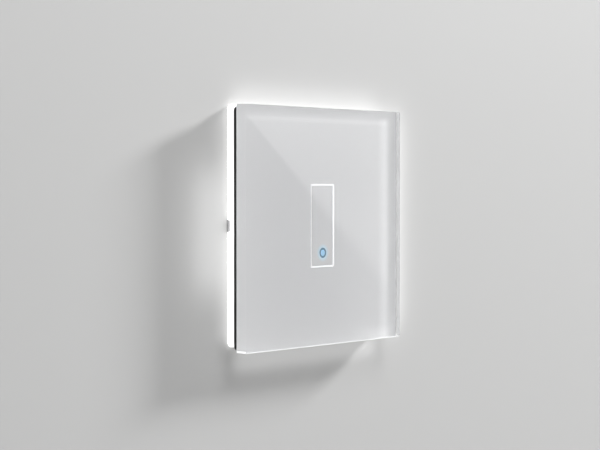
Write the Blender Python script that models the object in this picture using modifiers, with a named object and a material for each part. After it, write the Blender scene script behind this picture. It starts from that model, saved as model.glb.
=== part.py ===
"""Smart light switch: a glass touch plate on an opal light frame, with its module in the wall box.

Metres. X runs to the right, Y into the wall and Z up. The origin is the middle of the base on
the plane of the wall, so what stands in front of the wall has negative Y.
"""
import math

import bmesh
import bpy
from mathutils import Matrix, Vector

# Clearances
film_gap = 0.00005
seat_gap = 0.00015
slip_gap = 0.0003
overshoot = 0.001

# Glass panel
plate_overhang = 0.0008
glass_thickness = 0.0040
glass_corner = 0.0009
glass_arris = 0.0004
plate_drop = 0.0009

# Adhesive frame and plate carrier
adhesive_thickness = 0.0004
adhesive_inset = 0.0030
adhesive_border = 0.0020
carrier_thickness = 0.0015
carrier_inset = 0.0009
carrier_corner = 0.0012
carrier_mask_gap = 0.0009
peg_radius = 0.0015
peg_tip_chamfer = 0.0004
peg_spread_x = 0.0240
peg_edge = 0.0025

# Light frame
frame_depth = 0.00285
frame_corner = 0.0018
frame_edge_round = 0.0003
frame_wall = 0.0014
frame_roof = 0.0009
channel_width = 0.0030
lug_size = 0.0072
lug_root = 0.0003
lug_step = 0.0002
notch_mouth_height = 0.0062
notch_mouth_depth = 0.0005
notch_mouth_width = 0.0012
notch_floor_height = 0.0042
notch_floor_width = 0.0006
notch_back_wall = 0.0005

# Ring board, its lights and its ribbon
ring_board_thickness = 0.0006
ring_board_gap = 0.0003
ring_board_tab_reach = 0.0049
ring_board_tab_width = 0.0040
edge_led_length = 0.0030
edge_led_width = 0.0014
edge_led_height = 0.0007
edge_led_spread = 0.0400
ribbon_edge = 0.0050
ribbon_width = 0.0022
ribbon_thickness = 0.00025
ribbon_foot_length = 0.0016
ribbon_tab_overlap = 0.0012
ribbon_tab_margin = 0.0002

# Support plate
support_thickness = 0.0010
support_corner = 0.0025
support_margin = 0.0003
wall_gap = 0.0001
wall_screw_offset = 0.0040
wall_screw_room = 0.0032
wall_slot_length = 0.0070
wall_slot_width = 0.0037

# Screws
wall_screw_head_radius = 0.0032
wall_screw_head_height = 0.0014
wall_screw_shank_radius = 0.0016
wall_screw_length = 0.0250
wall_screw_crown_share = 0.75
wall_screw_point_share = 0.33
wall_screw_cross_reach = 0.0020
small_screw_head_radius = 0.0017
small_screw_head_height = 0.0008
small_screw_shank_radius = 0.0009
small_screw_length = 0.0025
small_hole_clearance = 0.00015
board_screw_length = 0.0065
board_screw_crown_share = 0.7
drive_slot_width = 0.0008
drive_slot_depth = 0.0007
drive_slot_reach = 0.0040

# Housing
housing_size = 0.0456
housing_chamfer = 0.0090
housing_depth = 0.0250
housing_wall = 0.0016
flange_lip_x = 0.0032
flange_lip_z = 0.0082
flange_thickness = 0.0012
flange_corner = 0.0030
housing_screw_edge_x = 0.0040
housing_screw_edge_z = 0.0029
boss_radius = 0.0022
boss_edge = 0.0044
boss_spread_z = 0.0180
boss_pilot_depth = 0.0070
vent_count = 4
vent_width = 0.0010
vent_length = 0.0100
vent_pitch = 0.0028
grommet_wall = 0.0009
grommet_lip = 0.0005
grommet_lip_height = 0.0003

# Touch board and what stands on it
touch_board_lap = 0.0002
touch_board_thickness = 0.0009
touch_board_corner = 0.0010
touch_chip_size = 0.0050
touch_chip_height = 0.0008
touch_chip_edge = 0.0002
field_width = 0.0122
field_height = 0.0297
field_rise = 0.0003
field_line = 0.0009
field_led_length = 0.0016
field_led_width = 0.0008
field_led_height = 0.0006
ring_edge = 0.00505
ring_outer_radius = 0.00185
ring_inner_radius = 0.00130
status_led_size = 0.0012
status_led_height = 0.0005
spring_base_radius = 0.0030
spring_top_radius = 0.0018
spring_wire = 0.00035
spring_turns = 2.5
spring_rise = 0.0040

# Light mask
mask_wall = 0.0020
mask_corner = 0.0020

# Radio module, header
radio_length = 0.0180
radio_width = 0.0120
radio_board_thickness = 0.0008
radio_x = -0.0060
radio_z = 0.0110
shield_length = 0.0120
shield_width = 0.0100
shield_height = 0.0016
shield_edge = 0.0003
header_pins = 5
header_pitch = 0.0025
header_width = 0.0025
header_z = -0.0145
header_socket_height = 0.0020
header_pin_radius = 0.0003

# Main board and its components, sizes as width, height off the board and breadth
main_board_front = 0.0015
main_board_thickness = 0.0016
relay_size = (0.0170, 0.0150, 0.0105)
relay_centre = (-0.0070, -0.0052)
relay_edge = 0.0005
transformer_size = (0.0125, 0.0120, 0.0100)
transformer_centre = (0.0092, -0.0050)
transformer_leg = 0.0028
transformer_edge = 0.0003
transformer_core_share = 0.55
transformer_foot_height = 0.0017
transformer_foot_inset = 0.0006
capacitor_1_radius = 0.0040
capacitor_1_length = 0.0120
capacitor_1_centre = (-0.0108, 0.0062)
capacitor_2_radius = 0.00315
capacitor_2_length = 0.0110
capacitor_2_centre = (-0.0024, 0.0072)
can_rim_share = 0.12
can_groove_share = 0.1
can_groove_place_share = 0.45
film_size = (0.0125, 0.0110, 0.0055)
film_centre = (0.0088, 0.0070)
film_edge = 0.0004
varistor_radius = 0.0035
varistor_thickness = 0.0032
varistor_centre = (0.0080, 0.0140)
varistor_edge = 0.00064
fuse_radius = 0.0018
fuse_length = 0.0090
fuse_centre = (-0.0065, 0.0150)
fuse_waist_share = 0.85
fuse_cap_length = 0.0018
fuse_cap_slope = 0.00054
fuse_cap_round = 0.00054

# Terminals
pole_count = 3
pole_pitch = 0.0076
chamber_width = 0.0060
chamber_height = 0.0076
chamber_depth = 0.0125
block_wall = 0.0014
block_floor = 0.0018
block_top_wall = 0.0010
block_recess = 0.0001
clamp_width = 0.0052
clamp_height = 0.0048
clamp_depth = 0.0082
clamp_wall = 0.0009
clamp_travel = 0.0020
clamp_drop = 0.0005
contact_width = 0.0038
contact_thickness = 0.0014
contact_tail_width = 0.0020
contact_tail_thickness = 0.0008
terminal_head_radius = 0.0024
terminal_head_height = 0.0018
terminal_shank_radius = 0.0015
terminal_head_chamfer = 0.0003
terminal_tip_chamfer = 0.00045
terminal_head_sink = 0.0008
terminal_slot_share = 1.2
wire_hole_radius = 0.00175
wire_funnel_radius = 0.0022
counterbore_clearance = 0.0002
web_thickness = 0.0007

# Sizes and places that follow, from the housing outward
flange_width = housing_size + 2 * flange_lip_x
flange_height = housing_size + 2 * flange_lip_z
wall_screw_x = flange_width / 2 + wall_screw_offset
frame_inner_half = wall_screw_x + wall_screw_head_radius + wall_screw_room
frame_size = 2 * (frame_inner_half + 2 * frame_wall + channel_width)
plate_size = frame_size + 2 * plate_overhang
touch_board_size = housing_size + 2 * touch_board_lap
mask_size = touch_board_size + 2 * (slip_gap + mask_wall)
carrier_opening = mask_size + 2 * carrier_mask_gap
ribbon_x = touch_board_size / 2 - ribbon_edge

# Depths, from the wall outward and then into the wall
frame_front = -frame_depth
carrier_back = frame_front - seat_gap
carrier_front = carrier_back - carrier_thickness
adhesive_back = carrier_front - film_gap
adhesive_front = adhesive_back - adhesive_thickness
glass_back = adhesive_front - film_gap
glass_front = glass_back - glass_thickness
support_back = -wall_gap
support_front = support_back - support_thickness
flange_back = support_front - seat_gap
flange_front = flange_back - flange_thickness
touch_board_back = flange_front - 2 * film_gap
touch_board_front = touch_board_back - touch_board_thickness
mask_front = glass_back + 2 * film_gap
ring_board_front = frame_front + frame_roof + 2 * film_gap
ring_board_back = ring_board_front + ring_board_thickness
main_board_back = main_board_front + main_board_thickness
component_front = main_board_back + 2 * film_gap
grommet_hole_radius = peg_radius + 2 * film_gap + grommet_wall

# Heights of the touch field and of its ring
field_centre = -plate_drop + field_rise
ring_centre = field_centre - field_height / 2 + ring_edge

# The terminals, from the back and the bottom of the housing inward
block_width = (pole_count - 1) * pole_pitch + chamber_width + 2 * block_wall
block_bottom = -housing_size / 2 + block_recess
chamber_bottom = block_bottom + block_floor
chamber_top = chamber_bottom + chamber_height
block_top = chamber_top + block_top_wall
block_back = housing_depth - block_recess
terminal_head_back = block_back - terminal_head_sink
terminal_head_front = terminal_head_back - terminal_head_height
counterbore_front = terminal_head_front - 2 * film_gap
chamber_back = counterbore_front - web_thickness
block_front = chamber_back - chamber_depth
clamp_back = chamber_back - slip_gap - clamp_travel
clamp_front = clamp_back - clamp_depth
clamp_centre_z = (chamber_top + chamber_bottom) / 2 - clamp_drop
contact_front = clamp_front + clamp_wall + 2 * wire_hole_radius
wire_centre_y = (clamp_front + clamp_wall + contact_front) / 2

SIGNS = (-1, 1)
CORNERS = [(sx, sz) for sx in SIGNS for sz in SIGNS]


def clear_scene():
    for thing in list(bpy.data.objects):
        bpy.data.objects.remove(thing, do_unlink=True)


def new_collection(name):
    made = bpy.data.collections.new(name)
    bpy.context.scene.collection.children.link(made)
    return made


def new_material(name, colour, roughness, metallic=0.0):
    made = bpy.data.materials.new(name)
    made.use_nodes = True
    made.diffuse_color = (*colour, 1.0)
    shader = made.node_tree.nodes["Principled BSDF"]
    shader.inputs["Base Color"].default_value = (*colour, 1.0)
    shader.inputs["Roughness"].default_value = roughness
    shader.inputs["Metallic"].default_value = metallic
    return made


clear_scene()
parts = new_collection("smart_light_switch")
cutters = new_collection("cutters")

white_glass = new_material("white_glass", (0.80, 0.81, 0.83), 0.05)
black_plastic = new_material("black_plastic", (0.03, 0.03, 0.032), 0.5)
foam_tape = new_material("foam_tape", (0.75, 0.75, 0.74), 0.9)
opal_plastic = new_material("opal_plastic", (0.95, 0.95, 0.94), 0.35)
white_plastic = new_material("white_plastic", (0.82, 0.82, 0.81), 0.45)
grey_rubber = new_material("grey_rubber", (0.12, 0.12, 0.12), 0.8)
plated_steel = new_material("plated_steel", (0.62, 0.62, 0.63), 0.32, 1.0)
screw_steel = new_material("screw_steel", (0.55, 0.55, 0.56), 0.28, 1.0)
tinned_copper = new_material("tinned_copper", (0.72, 0.70, 0.66), 0.3, 1.0)
brass = new_material("brass", (0.72, 0.55, 0.28), 0.3, 1.0)
white_board = new_material("white_board", (0.78, 0.78, 0.76), 0.4)
green_board = new_material("green_board", (0.03, 0.20, 0.09), 0.35)
chip_black = new_material("chip_black", (0.02, 0.02, 0.02), 0.4)
light_chip = new_material("light_chip", (0.90, 0.80, 0.35), 0.4)
clear_guide = new_material("clear_guide", (0.88, 0.90, 0.92), 0.15)
ribbon_film = new_material("ribbon_film", (0.70, 0.70, 0.68), 0.4)
relay_case = new_material("relay_case", (0.04, 0.12, 0.35), 0.35)
coil_tape = new_material("coil_tape", (0.75, 0.62, 0.10), 0.45)
sleeve = new_material("sleeve", (0.05, 0.05, 0.09), 0.3)
film_case = new_material("film_case", (0.70, 0.48, 0.06), 0.35)
varistor_coat = new_material("varistor_coat", (0.05, 0.20, 0.45), 0.4)
fuse_coat = new_material("fuse_coat", (0.30, 0.42, 0.30), 0.4)
terminal_plastic = new_material("terminal_plastic", (0.20, 0.21, 0.22), 0.5)


# Outlines, as lists of points (x, z)

def arc(centre, radius, start, end, steps):
    points = []
    for i in range(steps + 1):
        angle = start + (end - start) * i / steps
        points.append((centre[0] + radius * math.cos(angle), centre[1] + radius * math.sin(angle)))
    return points


def rounded_rectangle(width, height, radius, centre=(0.0, 0.0), steps=4):
    """Corner arcs joined by straight sides, anticlockwise."""
    reach_x = width / 2 - radius
    reach_z = height / 2 - radius
    points = []
    for quarter, (sx, sz) in enumerate([(1, 1), (-1, 1), (-1, -1), (1, -1)]):
        middle = (centre[0] + sx * reach_x, centre[1] + sz * reach_z)
        start = quarter * math.pi / 2
        points += arc(middle, radius, start, start + math.pi / 2, steps)
    return points


def circle(radius, centre, steps=16):
    return arc(centre, radius, 0.0, math.tau * (steps - 1) / steps, steps - 1)


def oblong(length, width, centre, steps=6):
    """A slot with round ends, its length along Z."""
    radius = width / 2
    reach = length / 2 - radius
    top = arc((centre[0], centre[1] + reach), radius, 0.0, math.pi, steps)
    bottom = arc((centre[0], centre[1] - reach), radius, math.pi, math.tau, steps)
    return top + bottom


def octagon(size, chamfer, offset=0.0):
    """A square with cut corners, moved outward all round by the offset."""
    half = size / 2 + offset
    leg = chamfer + offset * (2 - math.sqrt(2))
    inner = half - leg
    return [(half, inner), (inner, half), (-inner, half), (-half, inner),
            (-half, -inner), (-inner, -half), (inner, -half), (half, -inner)]


# Solids

def place(name, mesh, material, location=(0, 0, 0), rotation=(0, 0, 0)):
    made = bpy.data.objects.new(name, mesh)
    made.location = location
    made.rotation_euler = rotation
    parts.objects.link(made)
    if material:
        mesh.materials.clear()
        mesh.materials.append(material)
    return made


def extruded(name, loops, front, back, material=None):
    """A plate in the plane of the wall: the first loop is its outline, the others are holes."""
    curve = bpy.data.curves.new(name, "CURVE")
    curve.dimensions = "2D"
    curve.fill_mode = "BOTH"
    curve.extrude = (back - front) / 2
    for loop in loops:
        spline = curve.splines.new("POLY")
        spline.points.add(len(loop) - 1)
        for point, (x, z) in zip(spline.points, loop):
            point.co = (x, z, 0.0, 1.0)
        spline.use_cyclic_u = True
    guide = bpy.data.objects.new(name + "_curve", curve)
    guide.location = (0.0, (front + back) / 2, 0.0)
    guide.rotation_euler = (math.pi / 2, 0.0, 0.0)
    return meshed(name, guide, material)


def meshed(name, guide, material):
    """Turns a curve object into a closed mesh object in the same place."""
    parts.objects.link(guide)
    bpy.context.view_layer.update()
    graph = bpy.context.evaluated_depsgraph_get()
    mesh = bpy.data.meshes.new_from_object(guide.evaluated_get(graph))
    mesh.name = name
    bm = bmesh.new()
    bm.from_mesh(mesh)
    bmesh.ops.remove_doubles(bm, verts=bm.verts, dist=0.000001)
    bmesh.ops.recalc_face_normals(bm, faces=bm.faces)
    bm.to_mesh(mesh)
    bm.free()
    made = place(name, mesh, material)
    made.matrix_world = guide.matrix_world.copy()
    bpy.data.objects.remove(guide, do_unlink=True)
    return made


def block(name, low, high, material=None, bevel=0.0):
    """A box between two corners, with its edges rounded if a bevel is given."""
    low, high = Vector(low), Vector(high)
    bm = bmesh.new()
    bmesh.ops.create_cube(bm, size=1.0)
    bmesh.ops.scale(bm, vec=high - low, verts=bm.verts)
    mesh = bpy.data.meshes.new(name)
    bm.to_mesh(mesh)
    bm.free()
    made = place(name, mesh, material, (low + high) / 2)
    if bevel:
        round_edges(made, bevel, 1)
    return made


def cylinder(name, radius, start, end, material=None, steps=20, end_radius=None):
    """A round bar or cone between two points."""
    start, end = Vector(start), Vector(end)
    bm = bmesh.new()
    bmesh.ops.create_cone(bm, cap_ends=True, segments=steps, radius1=radius,
                          radius2=radius if end_radius is None else end_radius,
                          depth=(end - start).length)
    turn = Vector((0, 0, 1)).rotation_difference(end - start)
    bmesh.ops.rotate(bm, cent=(0, 0, 0), matrix=turn.to_matrix(), verts=bm.verts)
    mesh = bpy.data.meshes.new(name)
    bm.to_mesh(mesh)
    bm.free()
    smooth(mesh)
    return place(name, mesh, material, (start + end) / 2)


def turned(name, profile, location, material, rotation=(math.pi / 2, 0, 0), steps=20, ring=False):
    """A profile of (radius, height) points turned about its own upright axis.

    The profile runs down the outer side from top to bottom. The usual rotation points the top
    of the profile out of the wall.
    """
    mesh = bpy.data.meshes.new(name)
    vertices = [(radius, 0.0, height) for radius, height in profile]
    edges = [(i, i + 1) for i in range(len(profile) - 1)]
    if ring:
        edges.append((len(profile) - 1, 0))
    mesh.from_pydata(vertices, edges, [])
    made = place(name, mesh, material, location, rotation)
    screw = made.modifiers.new("turn", "SCREW")
    screw.steps = steps
    screw.render_steps = steps
    screw.use_merge_vertices = True
    screw.merge_threshold = 0.000001
    screw.use_smooth_shade = False
    return made


def smooth(mesh):
    mesh.shade_smooth()
    mesh.set_sharp_from_angle(angle=math.radians(35))


def round_edges(target, width, segments=2, angle=50):
    bevel = target.modifiers.new("edges", "BEVEL")
    bevel.width = width
    bevel.segments = segments
    bevel.limit_method = "ANGLE"
    bevel.angle_limit = math.radians(angle)
    return bevel


def combine(target, tool, operation):
    """Cuts or joins with a second shape, which is kept out of the finished part."""
    change = target.modifiers.new(tool.name, "BOOLEAN")
    change.operation = operation
    change.solver = "EXACT"
    change.object = tool
    parts.objects.unlink(tool)
    cutters.objects.link(tool)
    tool.hide_render = True
    tool.display_type = "WIRE"


def cut(target, tool):
    combine(target, tool, "DIFFERENCE")


def join(target, tool):
    combine(target, tool, "UNION")


# The plate that lifts off

def make_glass_panel():
    outline = rounded_rectangle(plate_size, plate_size, glass_corner, (0.0, -plate_drop))
    glass = extruded("glass_panel", [outline], glass_front, glass_back, white_glass)
    round_edges(glass, glass_arris, 1)


def make_adhesive_frame():
    outer = plate_size - 2 * adhesive_inset
    inner = carrier_opening + 2 * adhesive_border
    centre = (0.0, -plate_drop)
    loops = [rounded_rectangle(outer, outer, carrier_corner, centre, 2),
             rounded_rectangle(inner, inner, carrier_corner, centre, 2)]
    extruded("adhesive_frame", loops, adhesive_front, adhesive_back, foam_tape)


def peg_places():
    return [(sx * peg_spread_x / 2, sz * (flange_height / 2 - peg_edge)) for sx, sz in CORNERS]


def make_plate_carrier():
    """A flat moulded frame with a push-fit peg near each end of its long webs."""
    outer = plate_size - 2 * carrier_inset
    loops = [rounded_rectangle(outer, outer, carrier_corner, (0.0, -plate_drop)),
             rounded_rectangle(carrier_opening, carrier_opening, carrier_corner)]
    carrier = extruded("plate_carrier", loops, carrier_front, carrier_back, black_plastic)
    tip = (support_front + support_back) / 2
    shoulder = tip - peg_tip_chamfer
    for i, (x, z) in enumerate(peg_places()):
        root = carrier_back - carrier_thickness / 2
        body = cylinder(f"peg_{i}", peg_radius, (x, root, z), (x, shoulder, z))
        nose = cylinder(f"peg_nose_{i}", peg_radius, (x, shoulder - overshoot / 4, z), (x, tip, z),
                        end_radius=peg_radius - peg_tip_chamfer)
        join(carrier, body)
        join(carrier, nose)


# The light frame and its ring board

def lug_places():
    reach = frame_inner_half + lug_root - lug_size / 2
    return [(sx * reach, sz * reach) for sx, sz in CORNERS]


def make_light_frame():
    """An opal ring with a channel for the lights at its back and a screw lug in each corner."""
    inner = 2 * frame_inner_half
    loops = [rounded_rectangle(frame_size, frame_size, frame_corner, steps=6),
             rounded_rectangle(inner, inner, frame_corner)]
    frame = extruded("light_frame", loops, frame_front, 0.0, opal_plastic)
    round_edges(frame, frame_edge_round, 1)
    channel_outer = frame_size - 2 * frame_wall
    channel_inner = channel_outer - 2 * channel_width
    channel = extruded("frame_channel",
                       [rounded_rectangle(channel_outer, channel_outer, frame_corner / 2),
                        rounded_rectangle(channel_inner, channel_inner, frame_corner / 2)],
                       frame_front + frame_roof, overshoot)
    cut(frame, channel)
    lug_back = support_front - seat_gap
    for i, (x, z) in enumerate(lug_places()):
        lug = extruded(f"frame_lug_{i}",
                       [rounded_rectangle(lug_size, lug_size, frame_corner / 2, (x, z))],
                       frame_front + lug_step, lug_back)
        join(frame, lug)
        drill_countersunk(frame, f"frame_lug_hole_{i}", x, z, frame_front, lug_back)
    cut_ribbon_passage(frame)
    cut_pry_notch(frame)


def cut_ribbon_passage(frame):
    half = ring_board_tab_width / 2 + slip_gap
    passage = block("ribbon_passage",
                    (ribbon_x - half, ring_board_front - seat_gap, frame_inner_half - overshoot),
                    (ribbon_x + half, overshoot, frame_inner_half + frame_wall + overshoot))
    cut(frame, passage)


def cut_pry_notch(frame):
    """A wide shallow mouth at the front edge of the left side, and a recess behind it."""
    side = -frame_size / 2
    mouth = block("notch_mouth",
                  (side - overshoot, frame_front - overshoot, -notch_mouth_height / 2),
                  (side + notch_mouth_width, frame_front + notch_mouth_depth, notch_mouth_height / 2))
    recess = block("notch_recess",
                   (side - overshoot, frame_front - overshoot, -notch_floor_height / 2),
                   (side + notch_floor_width, -notch_back_wall, notch_floor_height / 2))
    cut(frame, mouth)
    cut(frame, recess)


def make_ring_board():
    outer = frame_size - 2 * frame_wall - 2 * ring_board_gap
    inner = outer - 2 * (channel_width - 2 * ring_board_gap)
    loops = [rounded_rectangle(outer, outer, frame_corner / 2, steps=2),
             rounded_rectangle(inner, inner, frame_corner / 2, steps=2)]
    board = extruded("ring_board", loops, ring_board_front, ring_board_back, white_board)
    half = ring_board_tab_width / 2
    tab = block("ring_board_tab",
                (ribbon_x - half, ring_board_front, inner / 2 - ring_board_tab_reach),
                (ribbon_x + half, ring_board_back, inner / 2 + ring_board_gap))
    join(board, tab)
    make_edge_leds((outer + inner) / 4)


def make_edge_leds(line):
    """Two lights on each side of the ring board, facing outward."""
    front = ring_board_back + film_gap
    back = front + edge_led_height
    number = 0
    for side in range(4):
        turn = Matrix.Rotation(side * math.pi / 2, 3, "Y")
        for sx in SIGNS:
            number += 1
            centre = turn @ Vector((sx * edge_led_spread / 2, 0.0, line))
            half = turn @ Vector((edge_led_length / 2, 0.0, edge_led_width / 2))
            half_x, half_z = abs(half.x), abs(half.z)
            block(f"edge_led_{number}", (centre.x - half_x, front, centre.z - half_z),
                  (centre.x + half_x, back, centre.z + half_z), light_chip)


def make_led_ribbon():
    """A flat lead from the tab of the ring board, over the flange, to the touch board."""
    start = frame_inner_half + frame_wall - ring_board_gap - ribbon_tab_margin - ribbon_tab_overlap
    foot = start - ribbon_foot_length
    low = ring_board_front - 2 * film_gap
    high = flange_front - 2 * film_gap
    crest = flange_height / 2 + slip_gap
    end = touch_board_size / 2 + slip_gap
    under = [(start, low), (foot, low), (crest, high), (end, high)]
    over = [(z, y - ribbon_thickness) for z, y in reversed(under)]
    curve = bpy.data.curves.new("led_ribbon", "CURVE")
    curve.dimensions = "2D"
    curve.fill_mode = "BOTH"
    curve.extrude = ribbon_width / 2
    spline = curve.splines.new("POLY")
    outline = under + over
    spline.points.add(len(outline) - 1)
    for point, (z, y) in zip(spline.points, outline):
        point.co = (y, z, 0.0, 1.0)
    spline.use_cyclic_u = True
    guide = bpy.data.objects.new("led_ribbon_curve", curve)
    guide.matrix_world = Matrix(((0, 0, 1, ribbon_x), (1, 0, 0, 0), (0, 1, 0, 0), (0, 0, 0, 1)))
    meshed("led_ribbon", guide, ribbon_film)


# The steel plate and the fasteners

def housing_screw_places():
    reach_x = flange_width / 2 - housing_screw_edge_x
    reach_z = flange_height / 2 - housing_screw_edge_z
    return [(s * reach_x, s * reach_z) for s in SIGNS]


def make_support_plate():
    size = 2 * (frame_inner_half - support_margin)
    loops = [rounded_rectangle(size, size, support_corner),
             octagon(housing_size, housing_chamfer, slip_gap)]
    for s in SIGNS:
        loops.append(oblong(wall_slot_length, wall_slot_width, (s * wall_screw_x, 0.0)))
    hole = small_screw_shank_radius + small_hole_clearance
    for place_2d in lug_places() + housing_screw_places():
        loops.append(circle(hole, place_2d, 12))
    for place_2d in peg_places():
        loops.append(circle(peg_radius + slip_gap, place_2d))
    extruded("support_plate", loops, support_front, support_back, plated_steel)


def drill_countersunk(target, name, x, z, front, back):
    """A through hole with a cone for a flat screw head."""
    hole = small_screw_shank_radius + small_hole_clearance
    cut(target, cylinder(name, hole, (x, front - overshoot, z), (x, back + overshoot, z), steps=16))
    mouth = small_screw_head_radius + small_hole_clearance
    depth = small_screw_head_height + film_gap
    slope = (mouth - hole) / depth
    cut(target, cylinder(name + "_cone", mouth + slope * overshoot, (x, front - overshoot, z),
                         (x, front + depth, z), steps=16, end_radius=hole))


def make_small_screws():
    """Flat-headed screws of the light frame and of the housing's flange."""
    head = small_screw_head_radius
    shank = small_screw_shank_radius
    drop = small_screw_head_height
    length = small_screw_length
    profile = [(0.0, 0.0), (head, 0.0), (shank, -drop), (shank, -length + shank / 2),
               (shank / 2, -length), (0.0, -length)]
    for kind, places, front in (("frame_screw", lug_places(), frame_front),
                                ("housing_screw", housing_screw_places(), flange_front)):
        reach = support_back - front - film_gap
        fitted = [(r, max(h, -reach + shank / 2) if r == shank else max(h, -reach))
                  for r, h in profile]
        for number, (x, z) in enumerate(places, 1):
            screw = turned(f"{kind}_{number}", fitted, (x, front + film_gap, z), screw_steel,
                           steps=16)
            cut_drive_slot(screw, x, front + film_gap, z)


def cut_drive_slot(screw, x, front, z, size=1.0, sign=1):
    """A straight slot across a head whose top is at the given depth."""
    half = drive_slot_width * size / 2
    reach = drive_slot_reach
    inner = front + sign * drive_slot_depth * size
    outer = front - sign * overshoot
    slot = block(screw.name + "_slot", (x - reach, min(inner, outer), z - half),
                 (x + reach, max(inner, outer), z + half))
    cut(screw, slot)


def make_wall_screws():
    """Pan-headed screws that hold the steel plate on the wall box."""
    head = wall_screw_head_radius
    shank = wall_screw_shank_radius
    top = wall_screw_head_height
    crown = head * wall_screw_crown_share
    point = shank * wall_screw_point_share
    end = -wall_screw_length
    profile = [(0.0, top), (crown, top), (head, top / 2), (head, 0.0), (shank, 0.0),
               (shank, end + 2 * shank), (point, end), (0.0, end)]
    for number, s in enumerate(SIGNS, 1):
        x = s * wall_screw_x
        seat = support_front - seat_gap
        screw = turned(f"wall_screw_{number}", profile, (x, seat, 0.0), screw_steel)
        half = drive_slot_width / 2
        front = seat - top
        for turn in range(2):
            reach_x = wall_screw_cross_reach if turn else half
            reach_z = half if turn else wall_screw_cross_reach
            cross = block(f"wall_screw_{number}_cross_{turn}",
                          (x - reach_x, front - overshoot, -reach_z),
                          (x + reach_x, front + drive_slot_depth, reach_z))
            cut(screw, cross)


# The housing

def boss_places():
    reach = housing_size / 2 - boss_edge
    return [(sx * reach, sz * boss_spread_z / 2) for sx, sz in CORNERS]


def make_housing():
    """A box with cut corners and a flange, open at the front, with bosses for the main board."""
    body = [octagon(housing_size, housing_chamfer)]
    housing = extruded("housing", body, flange_front + film_gap, housing_depth, white_plastic)
    flange = extruded("flange", [rounded_rectangle(flange_width, flange_height, flange_corner)],
                      flange_front, flange_back)
    join(housing, flange)
    room = extruded("housing_room", [octagon(housing_size, housing_chamfer, -housing_wall)],
                    flange_front - overshoot, housing_depth - housing_wall)
    cut(housing, room)
    for i, (x, z) in enumerate(boss_places()):
        boss = cylinder(f"boss_{i}", boss_radius, (x, component_front, z),
                        (x, housing_depth - housing_wall / 2, z), steps=16)
        join(housing, boss)
        cut(housing, cylinder(f"boss_hole_{i}", small_screw_shank_radius,
                              (x, component_front - overshoot, z),
                              (x, component_front + boss_pilot_depth, z), steps=12))
    cut_terminal_window(housing)
    cut_vents(housing)
    for i, (x, z) in enumerate(peg_places()):
        cut(housing, cylinder(f"grommet_hole_{i}", grommet_hole_radius,
                              (x, flange_front - overshoot, z), (x, flange_back + overshoot, z)))
    for i, (x, z) in enumerate(housing_screw_places()):
        drill_countersunk(housing, f"flange_hole_{i}", x, z, flange_front, flange_back)


def cut_terminal_window(housing):
    half = block_width / 2 + slip_gap
    window = block("terminal_window",
                   (-half, block_front - slip_gap, -housing_size / 2 - overshoot),
                   (half, housing_depth + overshoot, block_top + slip_gap))
    cut(housing, window)


def cut_vents(housing):
    """A row of narrow slots through the left and the right wall."""
    middle = (main_board_back + housing_depth) / 2
    for s in SIGNS:
        for i in range(vent_count):
            z = (i - (vent_count - 1) / 2) * vent_pitch
            inner = s * (housing_size / 2 - 2 * housing_wall)
            outer = s * (housing_size / 2 + overshoot)
            slot = block(f"vent_{s}_{i}",
                         (min(inner, outer), middle - vent_length / 2, z - vent_width / 2),
                         (max(inner, outer), middle + vent_length / 2, z + vent_width / 2))
            cut(housing, slot)


def make_grommets():
    outer = grommet_hole_radius - film_gap
    inner = peg_radius + film_gap
    lip = outer + grommet_lip
    depth = flange_back - flange_front
    profile = [(inner, grommet_lip_height), (lip, grommet_lip_height), (lip, 2 * film_gap),
               (outer, 2 * film_gap), (outer, -depth), (inner, -depth)]
    for number, (x, z) in enumerate(peg_places(), 1):
        turned(f"plate_grommet_{number}", profile, (x, flange_front, z), grey_rubber, ring=True)


# The touch board and what guides its light

def make_touch_board():
    outline = rounded_rectangle(touch_board_size, touch_board_size, touch_board_corner, steps=3)
    extruded("touch_board", [outline], touch_board_front, touch_board_back, white_board)
    half = touch_chip_size / 2
    top = touch_board_back + film_gap
    block("touch_chip", (half, top, -half), (half + touch_chip_size, top + touch_chip_height, half),
          chip_black, touch_chip_edge)


def make_light_mask():
    """A shallow black tray over the touch board, with a window for the touch field."""
    window_width = field_width + field_line + 2 * slip_gap
    window_height = field_height + field_line + 2 * slip_gap
    loops = [rounded_rectangle(mask_size, mask_size, mask_corner),
             rounded_rectangle(window_width, window_height, field_line, (0.0, field_centre), 2)]
    mask = extruded("light_mask", loops, mask_front, flange_front - 2 * film_gap, black_plastic)
    pocket_size = touch_board_size + 2 * slip_gap
    pocket = extruded("mask_pocket",
                      [rounded_rectangle(pocket_size, pocket_size, touch_board_corner)],
                      touch_board_front - seat_gap, overshoot)
    cut(mask, pocket)
    half = ribbon_width / 2 + slip_gap
    gate = block("mask_gate",
                 (ribbon_x - half, flange_front - 3 * film_gap - ribbon_thickness - seat_gap,
                  pocket_size / 2 - overshoot),
                 (ribbon_x + half, 0.0, mask_size / 2 + overshoot))
    cut(mask, gate)


def make_light_guides():
    """The clear frame behind the field's outline and the clear tube behind its ring."""
    back = touch_board_front - 2 * film_gap
    loops = [rounded_rectangle(field_width + grow, field_height + grow, field_line / 2 + grow / 2,
                               (0.0, field_centre), 2)
             for grow in (field_line, -field_line / 2)]
    extruded("field_guide", loops, mask_front, back, clear_guide)
    height = back - mask_front
    profile = [(ring_inner_radius, height), (ring_outer_radius, height), (ring_outer_radius, 0.0),
               (ring_inner_radius, 0.0)]
    turned("ring_guide", profile, (0.0, back, ring_centre), clear_guide, ring=True)


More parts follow.
